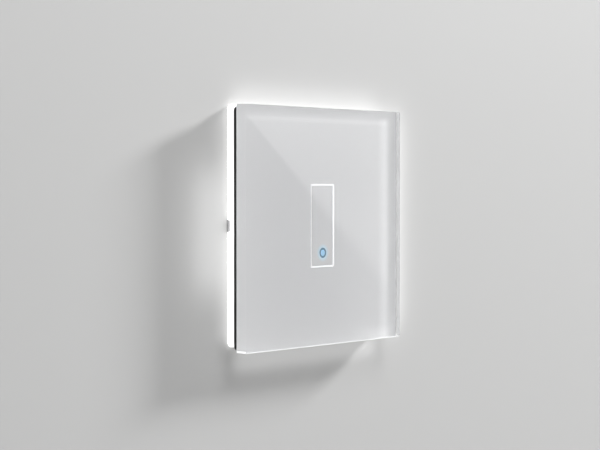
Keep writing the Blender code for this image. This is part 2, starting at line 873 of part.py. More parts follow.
def make_front_lights():
    back = touch_board_front - film_gap
    half = status_led_size / 2
    block("status_led", (-half, back - status_led_height, ring_centre - half),
          (half, back, ring_centre + half), light_chip)
    offset = field_height / 2 - field_line - field_led_width
    for number, s in enumerate(SIGNS, 1):
        z = field_centre + s * offset
        block(f"field_led_{number}",
              (-field_led_length / 2, back - field_led_height, z - field_led_width / 2),
              (field_led_length / 2, back, z + field_led_width / 2), light_chip)


def make_touch_spring():
    """A conical spring that carries the touch from the glass to the board."""
    bottom = touch_board_front - film_gap - spring_wire / 2
    top = mask_front + spring_wire / 2
    turn_steps = 14
    count = int(spring_turns * turn_steps) + 1
    curve = bpy.data.curves.new("touch_spring", "CURVE")
    curve.dimensions = "3D"
    curve.bevel_depth = spring_wire / 2
    curve.bevel_resolution = 1
    curve.use_fill_caps = True
    spline = curve.splines.new("POLY")
    spline.points.add(count - 1)
    for i, point in enumerate(spline.points):
        share = i / (count - 1)
        angle = math.tau * spring_turns * share
        radius = spring_base_radius + (spring_top_radius - spring_base_radius) * share
        y = bottom + (top - bottom) * share
        point.co = (radius * math.cos(angle), y, radius * math.sin(angle), 1.0)
    guide = bpy.data.objects.new("touch_spring_curve", curve)
    guide.location = (0.0, 0.0, spring_rise)
    meshed("touch_spring", guide, tinned_copper)


def make_radio():
    front = touch_board_back + 2 * film_gap
    back = front + radio_board_thickness
    block("radio_module",
          (radio_x - radio_length / 2, front, radio_z - radio_width / 2),
          (radio_x + radio_length / 2, back, radio_z + radio_width / 2), green_board)
    edge = (radio_length - shield_length) / 4
    middle = radio_x + edge
    block("radio_shield",
          (middle - shield_length / 2, back + film_gap, radio_z - shield_width / 2),
          (middle + shield_length / 2, back + film_gap + shield_height, radio_z + shield_width / 2),
          plated_steel, shield_edge)


def make_header():
    """A pin strip on the main board in a socket strip on the touch board."""
    half_x = header_pins * header_pitch / 2
    half_z = header_width / 2
    socket_front = touch_board_back + film_gap
    socket_back = socket_front + header_socket_height
    socket = block("header_socket", (-half_x, socket_front, header_z - half_z),
                   (half_x, socket_back, header_z + half_z), chip_black)
    plug_front = socket_back + 2 * film_gap
    plug = block("header_plug", (-half_x, plug_front, header_z - half_z),
                 (half_x, main_board_front - film_gap, header_z + half_z), chip_black)
    pin_tip = socket_front + header_socket_height / 3
    for i in range(header_pins):
        x = (i - (header_pins - 1) / 2) * header_pitch
        pin = cylinder(f"header_pin_{i}", header_pin_radius, (x, pin_tip, header_z),
                       (x, plug_front + overshoot / 2, header_z), steps=8)
        join(plug, pin)
        hole = cylinder(f"header_hole_{i}", header_pin_radius + seat_gap,
                        (x, pin_tip - seat_gap, header_z),
                        (x, socket_back + overshoot, header_z), steps=8)
        cut(socket, hole)


# The main board and its components

def make_main_board():
    loops = [octagon(housing_size, housing_chamfer, -housing_wall - slip_gap)]
    for x, z in boss_places()[2:]:
        loops.append(circle(small_screw_shank_radius + small_hole_clearance, (x, z), 12))
    extruded("main_board", loops, main_board_front, main_board_back, green_board)
    head = small_screw_head_radius
    shank = small_screw_shank_radius - film_gap
    top = small_screw_head_height
    crown = head * board_screw_crown_share
    profile = [(0.0, top), (crown, top), (head, top / 2), (head, 0.0), (shank, 0.0),
               (shank, -board_screw_length), (0.0, -board_screw_length)]
    x, z = boss_places()[3]
    seat = main_board_front - film_gap
    screw = turned("board_screw", profile, (x, seat, z), screw_steel, steps=16)
    cut_drive_slot(screw, x, seat - top, z)


def box_on_board(name, size, centre, material, bevel):
    """A component of the given width, height off the board and breadth."""
    width, height, breadth = size
    x, z = centre
    return block(name, (x - width / 2, component_front, z - breadth / 2),
                 (x + width / 2, component_front + height, z + breadth / 2), material, bevel)


def make_relay():
    box_on_board("relay", relay_size, relay_centre, relay_case, relay_edge)


def make_transformer():
    """A wound bobbin between the two legs of its core."""
    width, height, breadth = transformer_size
    x, z = transformer_centre
    core_size = (width, height, breadth * transformer_core_share)
    core = box_on_board("transformer", core_size, transformer_centre, coil_tape,
                        transformer_edge)
    winding = cylinder("transformer_winding", breadth / 2,
                       (x, component_front + transformer_leg, z),
                       (x, component_front + height - transformer_leg, z))
    join(core, winding)
    foot_size = (width - 2 * transformer_foot_inset, transformer_foot_height, breadth)
    foot = box_on_board("transformer_foot", foot_size, transformer_centre, None, 0.0)
    foot.location.y += film_gap
    join(core, foot)


def make_electrolytic(name, radius, length, centre):
    """A round can in its sleeve, with a groove near its foot and a rolled rim on top."""
    rim = radius * can_rim_share
    foot = radius * can_groove_place_share
    waist = radius - radius * can_groove_share
    profile = [(0.0, length - rim / 2), (radius - 2 * rim, length - rim / 2),
               (radius - rim, length), (radius, length - rim), (radius, 2 * foot),
               (waist, 3 * foot / 2), (radius, foot), (radius, 0.0), (0.0, 0.0)]
    turned(name, profile, (centre[0], component_front, centre[1]), sleeve,
           rotation=(-math.pi / 2, 0, 0))


def make_varistor():
    x, z = varistor_centre
    y = component_front + varistor_radius
    disc = cylinder("varistor", varistor_radius, (x, y, z - varistor_thickness / 2),
                    (x, y, z + varistor_thickness / 2), varistor_coat)
    round_edges(disc, varistor_edge, 1)


def make_fuse():
    """A slim body between two caps, the same at both ends."""
    half = fuse_length / 2
    waist = fuse_radius * fuse_waist_share
    cap_end = half - fuse_cap_length
    end = [(0.0, half), (fuse_radius - fuse_cap_round, half), (fuse_radius, half - fuse_cap_round),
           (fuse_radius, cap_end), (waist, cap_end - fuse_cap_slope)]
    profile = end + [(r, -h) for r, h in reversed(end)]
    turned("fuse", profile, (fuse_centre[0], component_front + fuse_radius, fuse_centre[1]),
           fuse_coat, rotation=(0, math.pi / 2, 0), steps=16)


# The terminals

def pole_places():
    return [(i - (pole_count - 1) / 2) * pole_pitch for i in range(pole_count)]


def make_terminal_block():
    """A moulded block with an open chamber, a screw well and a wire funnel for each pole."""
    half = block_width / 2
    body = block("terminal_block", (-half, block_front, block_bottom),
                 (half, block_back, block_top), terminal_plastic)
    for i, x in enumerate(pole_places()):
        chamber = block(f"chamber_{i}",
                        (x - chamber_width / 2, block_front - overshoot, chamber_bottom),
                        (x + chamber_width / 2, chamber_back, chamber_top))
        cut(body, chamber)
        well = cylinder(f"screw_well_{i}", terminal_head_radius + counterbore_clearance,
                        (x, counterbore_front, clamp_centre_z),
                        (x, block_back + overshoot, clamp_centre_z))
        cut(body, well)
        hole = cylinder(f"screw_hole_{i}", terminal_shank_radius + seat_gap,
                        (x, chamber_back - overshoot, clamp_centre_z),
                        (x, counterbore_front + overshoot, clamp_centre_z))
        cut(body, hole)
        entry = cylinder(f"wire_hole_{i}", wire_hole_radius,
                         (x, wire_centre_y, block_bottom - overshoot),
                         (x, wire_centre_y, chamber_bottom + overshoot))
        cut(body, entry)
        funnel = cylinder(f"wire_funnel_{i}", wire_funnel_radius,
                          (x, wire_centre_y, block_bottom - overshoot / 10),
                          (x, wire_centre_y, (block_bottom + chamber_bottom) / 2),
                          end_radius=wire_hole_radius - film_gap)
        cut(body, funnel)


def make_contacts():
    """A bar through each clamp, with a tail to the main board."""
    bar_bottom = chamber_bottom + slip_gap
    tail_top = chamber_top - slip_gap
    back = contact_front + contact_thickness
    for number, x in enumerate(pole_places(), 1):
        bar = block(f"contact_{number}", (x - contact_width / 2, contact_front, bar_bottom),
                    (x + contact_width / 2, back, tail_top), tinned_copper)
        tail = block(f"contact_tail_{number}",
                     (x - contact_tail_width / 2, component_front,
                      tail_top - contact_tail_thickness),
                     (x + contact_tail_width / 2, back - contact_thickness / 2,
                      tail_top - film_gap))
        join(bar, tail)


def make_wire_clamps():
    """A square cage round each contact bar, which the screw draws towards its head."""
    half_x = clamp_width / 2
    half_z = clamp_height / 2
    for number, x in enumerate(pole_places(), 1):
        cage = block(f"wire_clamp_{number}", (x - half_x, clamp_front, clamp_centre_z - half_z),
                     (x + half_x, clamp_back, clamp_centre_z + half_z), brass)
        window = block(f"clamp_window_{number}",
                       (x - half_x + clamp_wall / 2, clamp_front + clamp_wall,
                        clamp_centre_z - half_z - overshoot),
                       (x + half_x - clamp_wall / 2, clamp_back - clamp_wall,
                        clamp_centre_z + half_z + overshoot))
        cut(cage, window)
        hole = cylinder(f"clamp_hole_{number}", terminal_shank_radius + seat_gap,
                        (x, clamp_back - clamp_wall - overshoot / 2, clamp_centre_z),
                        (x, clamp_back + overshoot, clamp_centre_z))
        cut(cage, hole)


def make_terminal_screws():
    head = terminal_head_radius
    shank = terminal_shank_radius
    height = terminal_head_height
    tip = contact_front + contact_thickness + seat_gap - terminal_head_front
    profile = [(0.0, height), (head - terminal_head_chamfer, height),
               (head, height - terminal_head_chamfer), (head, 0.0), (shank, 0.0),
               (shank, tip + terminal_tip_chamfer), (shank - terminal_tip_chamfer, tip),
               (0.0, tip)]
    for number, x in enumerate(pole_places(), 1):
        screw = turned(f"terminal_screw_{number}", profile,
                       (x, terminal_head_front, clamp_centre_z), screw_steel,
                       rotation=(-math.pi / 2, 0, 0))
        cut_drive_slot(screw, x, terminal_head_back, clamp_centre_z, terminal_slot_share, -1)


def shade_finished_parts():
    for made in parts.objects:
        smooth(made.data)


make_glass_panel()
make_adhesive_frame()
make_plate_carrier()
make_light_frame()
make_ring_board()
make_led_ribbon()
make_support_plate()
make_small_screws()
make_wall_screws()
make_housing()
make_grommets()
make_touch_board()
make_light_mask()
make_light_guides()
make_front_lights()
make_touch_spring()
make_radio()
make_header()
make_main_board()
make_relay()
make_transformer()
make_electrolytic("capacitor_1", capacitor_1_radius, capacitor_1_length, capacitor_1_centre)
make_electrolytic("capacitor_2", capacitor_2_radius, capacitor_2_length, capacitor_2_centre)
box_on_board("film_capacitor", film_size, film_centre, film_case, film_edge)
make_varistor()
make_fuse()
make_terminal_block()
make_contacts()
make_wire_clamps()
make_terminal_screws()
shade_finished_parts()
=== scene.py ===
import math

import bmesh
import bpy
from mathutils import Matrix, Vector


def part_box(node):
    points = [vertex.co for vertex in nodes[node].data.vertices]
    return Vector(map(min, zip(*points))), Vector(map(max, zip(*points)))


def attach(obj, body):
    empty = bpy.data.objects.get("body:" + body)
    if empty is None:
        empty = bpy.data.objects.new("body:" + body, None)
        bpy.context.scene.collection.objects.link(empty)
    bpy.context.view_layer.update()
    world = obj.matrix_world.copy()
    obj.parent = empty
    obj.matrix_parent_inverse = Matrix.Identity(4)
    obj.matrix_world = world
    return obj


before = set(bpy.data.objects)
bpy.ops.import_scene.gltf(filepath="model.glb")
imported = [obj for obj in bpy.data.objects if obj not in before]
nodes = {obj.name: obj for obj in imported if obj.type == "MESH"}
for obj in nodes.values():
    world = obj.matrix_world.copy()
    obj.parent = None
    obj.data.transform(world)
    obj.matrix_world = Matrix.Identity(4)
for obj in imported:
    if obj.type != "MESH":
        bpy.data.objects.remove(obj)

scene = bpy.context.scene
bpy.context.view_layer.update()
mm = 0.001
white = (1.0, 1.0, 1.0)


# Camera, at the photograph's viewing angle

cameraSetup = {
    "place": (-0.4356, -0.3841, 0.0142),
    "tilt": 88.5544,          # degrees up from straight down
    "turn": -48.303,
    "lens": 95.06,
    "filmWidth": 36.0,
    "clipStart": 0.01,
}


def makeCamera(setup):
    data = bpy.data.cameras.new("switchCamera")
    data.lens = setup["lens"]
    data.sensor_width = setup["filmWidth"]
    data.clip_start = setup["clipStart"]
    camera = bpy.data.objects.new("switchCamera", data)
    camera.location = setup["place"]
    camera.rotation_euler = (math.radians(setup["tilt"]), 0.0, math.radians(setup["turn"]))
    scene.collection.objects.link(camera)
    scene.camera = camera
    print("camera placed")


makeCamera(cameraSetup)


# Shader helpers: the owner is a material or the world

def newFinish(name, colour, roughness, metallic=0.0, **sockets):
    finish = bpy.data.materials.new(name)
    finish.use_nodes = True
    finish.diffuse_color = (*colour, 1.0)
    shader = shaderOf(finish)
    shader.inputs["Base Color"].default_value = (*colour, 1.0)
    shader.inputs["Roughness"].default_value = roughness
    shader.inputs["Metallic"].default_value = metallic
    for socket, value in sockets.items():
        shader.inputs[socket.replace("_", " ")].default_value = value
    return finish


def shaderOf(finish):
    return finish.node_tree.nodes["Principled BSDF"]


def addNode(owner, kind, **values):
    node = owner.node_tree.nodes.new(kind)
    for key, value in values.items():
        if hasattr(node, key):
            setattr(node, key, value)
        else:
            node.inputs[key.replace("_", " ")].default_value = value
    return node


def join(owner, value, socket):
    # links an output to the socket, or sets a fixed value on it
    if isinstance(value, bpy.types.NodeSocket):
        owner.node_tree.links.new(value, socket)
    else:
        socket.default_value = value


def lastOf(socket):
    return socket.links[0].from_socket if socket.is_linked else socket.default_value


def placeOutput(finish):
    found = finish.node_tree.nodes.get("partPlace")
    if not found:
        found = addNode(finish, "ShaderNodeTexCoord", name="partPlace")
    return found.outputs["Object"]


def axisOutputs(finish, axes="XYZ"):
    found = finish.node_tree.nodes.get("partAxes")
    if not found:
        found = addNode(finish, "ShaderNodeSeparateXYZ", name="partAxes")
        join(finish, placeOutput(finish), found.inputs[0])
    return [found.outputs[axis] for axis in axes]


def mathNode(owner, operation, first, second=0.0):
    node = addNode(owner, "ShaderNodeMath", operation=operation)
    join(owner, first, node.inputs[0])
    join(owner, second, node.inputs[1])
    return node.outputs[0]


def plus(owner, first, second):
    return mathNode(owner, "ADD", first, second)


def minus(owner, first, second):
    return mathNode(owner, "SUBTRACT", first, second)


def times(owner, first, second):
    return mathNode(owner, "MULTIPLY", first, second)


def larger(owner, first, second):
    return mathNode(owner, "MAXIMUM", first, second)


def isOver(owner, value, limit):
    return mathNode(owner, "GREATER_THAN", value, limit)


def isUnder(owner, value, limit):
    return mathNode(owner, "LESS_THAN", value, limit)


def opposite(owner, value):
    return minus(owner, 1.0, value)


def fromMiddle(owner, axis, low, high):
    return mathNode(owner, "ABSOLUTE", minus(owner, axis, (low + high) / 2))


def radiusOutput(owner, across, up):
    return mathNode(owner, "SQRT", plus(owner, times(owner, across, across), times(owner, up, up)))


def rangeOutput(owner, source, low, high, newLow, newHigh, kind="LINEAR"):
    node = addNode(owner, "ShaderNodeMapRange", interpolation_type=kind, From_Min=low, From_Max=high,
                   To_Min=newLow, To_Max=newHigh)
    join(owner, source, node.inputs["Value"])
    return node.outputs["Result"]


def mixOutput(owner, amount, first, second, kind):
    # the first where the amount is 0, and the second where it is 1
    mix = addNode(owner, "ShaderNodeMix", data_type=kind)
    join(owner, amount, mix.inputs["Factor"])
    join(owner, first, mix.inputs["A"])
    join(owner, second, mix.inputs["B"])
    return mix.outputs["Result"]


def rampOutput(finish, source, stops):
    ramp = addNode(finish, "ShaderNodeValToRGB")
    points = ramp.color_ramp.elements
    while len(points) < len(stops):
        points.new(1.0)
    for point, (place, colour) in zip(points, stops):
        point.position = place
        point.color = (*colour, 1.0)
    join(finish, source, ramp.inputs["Fac"])
    return ramp.outputs["Color"]


def noiseOutput(finish, size, detail=3.0, stretch=None):
    # the size is the width of a grain in metres
    noise = addNode(finish, "ShaderNodeTexNoise", Scale=1.0 / size, Detail=detail)
    source = placeOutput(finish)
    if stretch:
        scale = addNode(finish, "ShaderNodeMapping", Scale=stretch)
        join(finish, source, scale.inputs["Vector"])
        source = scale.outputs["Vector"]
    join(finish, source, noise.inputs["Vector"])
    return noise.outputs["Fac"]


def addBump(finish, source, height):
    bump = addNode(finish, "ShaderNodeBump", Strength=1.0, Distance=height)
    join(finish, source, bump.inputs["Height"])
    last = shaderOf(finish).inputs["Normal"]
    if last.is_linked:
        join(finish, lastOf(last), bump.inputs["Normal"])
    join(finish, bump.outputs["Normal"], last)


def addGlow(finish, colour, strength):
    shader = shaderOf(finish)
    shader.inputs["Emission Color"].default_value = (*colour, 1.0)
    join(finish, strength, shader.inputs["Emission Strength"])


def overlay(finish, amount, colour, roughness=None, metallic=None):
    # another colour, and gloss, where the amount is 1
    changes = (("Base Color", (*colour, 1.0), "RGBA"), ("Roughness", roughness, "FLOAT"),
               ("Metallic", metallic, "FLOAT"))
    for name, value, kind in changes:
        if value is not None:
            socket = shaderOf(finish).inputs[name]
            join(finish, mixOutput(finish, amount, lastOf(socket), value, kind), socket)


noiseSpan = (0.3, 0.7)        # nearly all of the noise lies between these values
leastRoughness = 0.02
usualRoughSpread = 0.08


def mottled(finish, grain, spread, roughSpread=usualRoughSpread, height=0.0, stretch=None):
    # uneven colour and gloss, and a fine relief if a height is given
    shader = shaderOf(finish)
    source = noiseOutput(finish, grain, stretch=stretch)
    colour = list(shader.inputs["Base Color"].default_value)[:3]
    darker = tuple(c * (1.0 - spread) for c in colour)
    lighter = tuple(min(c * (1.0 + spread), 1.0) for c in colour)
    tone = rampOutput(finish, source, list(zip(noiseSpan, (darker, lighter))))
    join(finish, tone, shader.inputs["Base Color"])
    rough = shader.inputs["Roughness"].default_value
    smoother = max(rough - roughSpread, leastRoughness)
    gloss = rangeOutput(finish, source, *noiseSpan, smoother, min(rough + roughSpread, 1.0))
    join(finish, gloss, shader.inputs["Roughness"])
    if height:
        addBump(finish, source, height)
    return finish


def dress(node, finish):
    mesh = nodes[node].data
    mesh.materials.clear()
    mesh.materials.append(finish)


def numbered(name, count):
    return [f"{name}_{i}" for i in range(1, count + 1)]


def finishPieces(finishes):
    made = {}
    for name, look in finishes.items():
        finish = newFinish(name, look["colour"], look["roughness"], look.get("metallic", 0.0))
        mottled(finish, look["grain"], look["spread"], look.get("roughSpread", usualRoughSpread),
                look.get("height", 0.0), look.get("stretch"))
        if "traces" in look:
            addTraces(finish, look["traces"], traceSetup)
        for node in look["nodes"]:
            dress(node, finish)
        made[name] = finish
    return made


# Wall, floor and light

stageSetup = {
    "wallColour": (0.422, 0.422, 0.4205),
    "wallRoughness": 0.85,
    "wallSize": 2.4,
    "wallPlace": 0.2 * mm,
    "openingSize": 82.0 * mm,  # the wall is left open behind the light frame
    "floorColour": (0.36, 0.36, 0.358),
    "floorRoughness": 0.8,
    "floorSize": 9.6,
    "floorHeight": -0.55,
    "skyLight": 0.78,
    "skyShown": (0.80, 0.80, 0.80),
}


def rectangleLoop(width, height, middle=(0.0, 0.0)):
    x, z = width / 2, height / 2
    return [(middle[0] + sx * x, middle[1] + sz * z) for sx, sz in ((-1, -1), (1, -1), (1, 1), (-1, 1))]


def bridge(bm, first, second):
    # faces between two loops with the same number of corners
    for i in range(len(first)):
        j = (i + 1) % len(first)
        bm.faces.new((first[i], first[j], second[j], second[i]))


def makeWall(setup):
    bm = bmesh.new()
    inner, outer = ([bm.verts.new((x, setup["wallPlace"], z)) for x, z in rectangleLoop(size, size)]
                    for size in (setup["openingSize"], setup["wallSize"]))
    bridge(bm, inner, outer)
    mesh = bpy.data.meshes.new("wallBackdrop")
    bm.to_mesh(mesh)
    bm.free()
    if mesh.polygons[0].normal.y > 0:
        mesh.flip_normals()
    mesh.materials.append(makeWallFinish(setup))
    wall = bpy.data.objects.new("wallBackdrop", mesh)
    scene.collection.objects.link(wall)


def makeWallFinish(setup):
    # the camera sees through the wall from behind, and all else meets it as paint
    finish = newFinish("wallPaint", setup["wallColour"], setup["wallRoughness"])
    sheer = addNode(finish, "ShaderNodeBsdfTransparent")
    side = addNode(finish, "ShaderNodeNewGeometry")
    path = addNode(finish, "ShaderNodeLightPath")
    mix = addNode(finish, "ShaderNodeMixShader")
    fromBehind = times(finish, side.outputs["Backfacing"], path.outputs["Is Camera Ray"])
    join(finish, fromBehind, mix.inputs["Fac"])
    join(finish, shaderOf(finish).outputs[0], mix.inputs[1])
    join(finish, sheer.outputs[0], mix.inputs[2])
    join(finish, mix.outputs[0], finish.node_tree.nodes["Material Output"].inputs["Surface"])
    return finish


def makeFloor(setup):
    outline = rectangleLoop(setup["floorSize"], setup["floorSize"])
    corners = [(x, y, setup["floorHeight"]) for x, y in outline]
    mesh = bpy.data.meshes.new("floor")
    mesh.from_pydata(corners, [], [(0, 1, 2, 3)])
    mesh.materials.append(newFinish("floorPaint", setup["floorColour"], setup["floorRoughness"]))
    floor = bpy.data.objects.new("floor", mesh)
    scene.collection.objects.link(floor)
    floor.visible_glossy = False
    floor.visible_transmission = False


# Softbox that the glass mirrors, in degrees from where the photograph's view is mirrored to
softboxSetup = {
    "turn": 48.303,
    "rise": -1.446,
    "right": 3.24,
    "rightSoft": 0.18,
    "top": 3.95,
    "topSoft": 0.11,
    "topTilt": 0.045,
    "slope": 1.2,              # the lower left side, as height over run
    "slopeHeight": 1.65,
    "slopeSoft": 0.11,
    "slopeSofter": 0.10,       # how much softer it gets for each degree to the right
    "upper": 1.44,
    "rim": 1.45,
    "rimPlace": 3.06,
    "rimWidth": 0.30,
    "topRim": 0.78,
    "topRimPlace": 3.80,
    "topRimWidth": 0.14,
    "past": 0.7,               # above its top side
    "fills": (                 # softer light round it: level, turn from, turn to, rise from, rise to
        (0.45, -0.4, -2.4, -9.0, -8.0),
        (0.45, 0.8, 2.6, -9.0, -8.0),
        (1.30, 1.6, 3.0, -3.5, -3.95),
    ),
    "reach": 8.0,              # all of it lies within this, to the left, below and above
    "reachSoft": 0.5,
}


def softStep(owner, value, place, soft):
    # rises from 0 to 1 over twice the softness, or falls if that is negative
    return rangeOutput(owner, value, place - soft, place + soft, 0.0, 1.0, "SMOOTHSTEP")


def softBand(owner, value, place, width):
    rise = softStep(owner, value, place - width / 2, width / 2)
    fall = softStep(owner, value, place + width / 2, width / 2)
    return minus(owner, rise, fall)


def softboxLight(world, setup):
    direction = addNode(world, "ShaderNodeTexCoord")
    split = addNode(world, "ShaderNodeSeparateXYZ")
    join(world, direction.outputs["Generated"], split.inputs[0])
    away = times(world, split.outputs["Y"], -1.0)
    turn = mathNode(world, "DEGREES", mathNode(world, "ARCTAN2", split.outputs["X"], away))
    rise = mathNode(world, "DEGREES", mathNode(world, "ARCSINE", split.outputs["Z"]))
    across = minus(world, turn, setup["turn"])
    up = minus(world, rise, setup["rise"])

    slant = plus(world, up, times(world, across, setup["slope"]))
    spread = plus(world, times(world, across, setup["slopeSofter"]),
                  setup["slopeSoft"] + setup["slopeSofter"] * setup["right"] / 2)
    spread = larger(world, spread, setup["slopeSoft"])
    overSlope = mathNode(world, "DIVIDE", minus(world, slant, setup["slopeHeight"]), spread)
    upperPart = softStep(world, overSlope, 0.0, 1.0)

    fromTop = plus(world, up, times(world, across, setup["topTilt"]))
    rim = times(world, softBand(world, across, setup["rimPlace"], setup["rimWidth"]), setup["rim"])
    topRim = softBand(world, fromTop, setup["topRimPlace"], setup["topRimWidth"])
    topRim = times(world, topRim, setup["topRim"])
    insideRight = opposite(world, softStep(world, across, setup["right"], setup["rightSoft"]))
    insideTop = opposite(world, softStep(world, fromTop, setup["top"], setup["topSoft"]))
    level = plus(world, plus(world, times(world, upperPart, setup["upper"]), rim), topRim)
    level = times(world, times(world, level, insideRight), insideTop)

    lowerPart = opposite(world, upperPart)
    for amount, turnFrom, turnTo, riseFrom, riseTo in setup["fills"]:
        turned = softStep(world, across, (turnFrom + turnTo) / 2, (turnTo - turnFrom) / 2)
        raised = softStep(world, up, (riseFrom + riseTo) / 2, (riseTo - riseFrom) / 2)
        fill = times(world, times(world, turned, raised), amount)
        level = plus(world, level, times(world, fill, lowerPart))
    level = plus(world, level, times(world, opposite(world, insideTop), setup["past"]))

    reach, soft = setup["reach"], setup["reachSoft"]
    for edge in (softStep(world, across, -reach, soft), insideRight, softStep(world, up, -reach, soft),
                 opposite(world, softStep(world, up, reach, soft))):
        level = times(world, level, edge)
    return level


def makeSky(setup, softbox):
    world = bpy.data.worlds.new("studio")
    scene.world = world
    world.use_nodes = True
    world.node_tree.nodes.clear()
    path = addNode(world, "ShaderNodeLightPath")
    mirrored = minus(world, path.outputs["Is Glossy Ray"], path.outputs["Is Transmission Ray"])
    extra = times(world, softboxLight(world, softbox), larger(world, mirrored, 0.0))
    light = addNode(world, "ShaderNodeBackground", Color=(*white, 1.0))
    join(world, plus(world, extra, setup["skyLight"]), light.inputs["Strength"])
    shown = addNode(world, "ShaderNodeBackground", Color=(*setup["skyShown"], 1.0))
    mix = addNode(world, "ShaderNodeMixShader")
    join(world, path.outputs["Is Camera Ray"], mix.inputs["Fac"])
    join(world, light.outputs[0], mix.inputs[1])
    join(world, shown.outputs[0], mix.inputs[2])
    join(world, mix.outputs[0], addNode(world, "ShaderNodeOutputWorld").inputs["Surface"])


lampSetup = {
    "key": {"direction": (0.887, -0.206, 0.41), "distance": 3.0, "size": 0.475, "power": 166.0},
    "top": {"direction": (0.0, -0.573, 0.819), "distance": 0.61, "size": 0.3, "power": 1.6},
}


def makeLamp(name, direction, distance, size, power):
    data = bpy.data.lights.new(name + "Light", "AREA")
    data.shape = "DISK"
    data.size = size
    data.energy = power
    lamp = bpy.data.objects.new(name + "Light", data)
    away = Vector(direction).normalized()
    lamp.location = away * distance
    lamp.rotation_euler = away.to_track_quat("Z", "Y").to_euler()
    lamp.visible_camera = False
    lamp.visible_transmission = False
    scene.collection.objects.link(lamp)


makeWall(stageSetup)
makeFloor(stageSetup)
makeSky(stageSetup, softboxSetup)
for lampName, lampLook in lampSetup.items():
    makeLamp(lampName, **lampLook)
scene.view_settings.view_transform = "Standard"
print("wall, floor and light placed")


# Glass panel: clear glass, its edges ground, with the paint bonded to its back

glassSetup = {
    "index": 1.5,
    "polish": 0.0,
    "edgeRoughness": 0.22,
    "edgeWidth": 0.38 * mm,
    "edgeBlend": 0.02 * mm,
    "edgeGlow": {"left": 0.04, "right": 0.08, "top": 0.02, "bottom": 0.19},   # painted glow on the ground sides, standing in for light they catch
    "paintedGlint": 0.5,              # painted glint, at the foot of the left side
    "paintedGlintHeight": 0.8 * mm,
    "glowFrom": -5.2 * mm,     # the right side's painted glow lies between these depths
    "glowFull": -6.5 * mm,
    "glowEnd": -8.1 * mm,
}


def makeGlassFinish(setup):
    low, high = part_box("glass_panel")
    finish = newFinish("clearGlass", white, setup["polish"], IOR=setup["index"], Transmission_Weight=1.0)
    x, y, z = axisOutputs(finish)
    width = setup["edgeWidth"]
    outermost = larger(finish, mathNode(finish, "ABSOLUTE", x), fromMiddle(finish, z, low.z, high.z))
    start = (high.x - low.x) / 2 - width
    rough = rangeOutput(finish, outermost, start, start + setup["edgeBlend"], setup["polish"],
                        setup["edgeRoughness"])
    join(finish, rough, shaderOf(finish).inputs["Roughness"])
    # painted light: the ground sides glow by emission, most at the bottom, with a painted glint at the
    # foot of the left side
    edges = setup["edgeGlow"]
    paintedGlint = times(finish, isUnder(finish, z, low.z + setup["paintedGlintHeight"]), setup["paintedGlint"])
    band = times(finish, rangeOutput(finish, y, setup["glowFull"], setup["glowFrom"], 1.0, 0.0),
                 isOver(finish, y, setup["glowEnd"]))
    glow = 0.0
    for side, level in ((isUnder(finish, x, low.x + width), plus(finish, paintedGlint, edges["left"])),
                        (isOver(finish, x, high.x - width), times(finish, band, edges["right"])),
                        (isOver(finish, z, high.z - width), edges["top"]),
                        (isUnder(finish, z, low.z + width), edges["bottom"])):
        glow = larger(finish, glow, times(finish, side, level))
    addGlow(finish, white, glow)
    return finish


dress("glass_panel", makeGlassFinish(glassSetup))

printSetup = {
    "colour": (0.741, 0.745, 0.755),
    "roughness": 0.55,
    "index": 1.01,              # bonded to the glass, so it has no gloss of its own
    "thickness": 0.03 * mm,
    "sink": 0.005 * mm,         # how far it lies inside the back face of the glass
    "margin": 0.05 * mm,
    "fieldWidth": 12.12 * mm,
    "fieldHeight": 29.7 * mm,
    "fieldMiddle": (0.05 * mm, -0.55 * mm),
    "sideLine": 0.60 * mm,
    "endLine": 0.42 * mm,
    "ringMiddle": (0.18 * mm, -10.45 * mm),
    "ringRadius": 1.50 * mm,
    "ringStroke": 0.70 * mm,
    "ringColour": (0.145, 0.265, 0.37),
    "inkRoughness": 0.6,
    "inkFront": 0.012 * mm,     # in front of the paint
    "inkBack": 0.002 * mm,
    "paintedLensLight": (0.487, 0.71, 0.875),   # inside the ring the paint is thin and shows painted light of the lit ring, and round it lies a painted halo of that light
    "lensBlend": 0.05,          # share of the ring's radius
    "paintedHaloLight": (0.66, 0.82, 0.90),
    "haloReach": 3.7 * mm,
    "glowColour": (0.12, 0.50, 1.0),
    "glowInside": 0.14,
    "glowOutside": 0.05,
}


def circleLoop(radius, middle, steps=48):
    return [(middle[0] + radius * math.cos(math.tau * i / steps),
             middle[1] + radius * math.sin(math.tau * i / steps)) for i in range(steps)]


def flatPiece(name, loops, front, back):
    # a sheet parallel to the wall: nested loops are outline, hole, island and so on
    curve = bpy.data.curves.new(name, "CURVE")
    curve.dimensions = "2D"
    curve.fill_mode = "BOTH"
    curve.extrude = (back - front) / 2
    for loop in loops:
        spline = curve.splines.new("POLY")
        spline.points.add(len(loop) - 1)
        for point, (x, z) in zip(spline.points, loop):
            point.co = (x, z, 0.0, 1.0)
        spline.use_cyclic_u = True
    guide = bpy.data.objects.new(name + "Curve", curve)
    scene.collection.objects.link(guide)
    bpy.context.view_layer.update()
    mesh = bpy.data.meshes.new_from_object(guide.evaluated_get(bpy.context.evaluated_depsgraph_get()))
    bpy.data.objects.remove(guide)
    turn = Matrix.Rotation(math.pi / 2, 4, "X")
    mesh.transform(Matrix.Translation((0.0, (front + back) / 2, 0.0)) @ turn)
    bm = bmesh.new()
    bm.from_mesh(mesh)
    bpy.data.meshes.remove(mesh)
    return addPiece(name, bm)


weldReach = 1e-7              # points nearer than this are one


def addPiece(name, bm):
    bmesh.ops.remove_doubles(bm, verts=bm.verts, dist=weldReach)
    bmesh.ops.recalc_face_normals(bm, faces=bm.faces)
    mesh = bpy.data.meshes.new(name)
    bm.to_mesh(mesh)
    bm.free()
    piece = bpy.data.objects.new(name, mesh)
    scene.collection.objects.link(piece)
    return piece


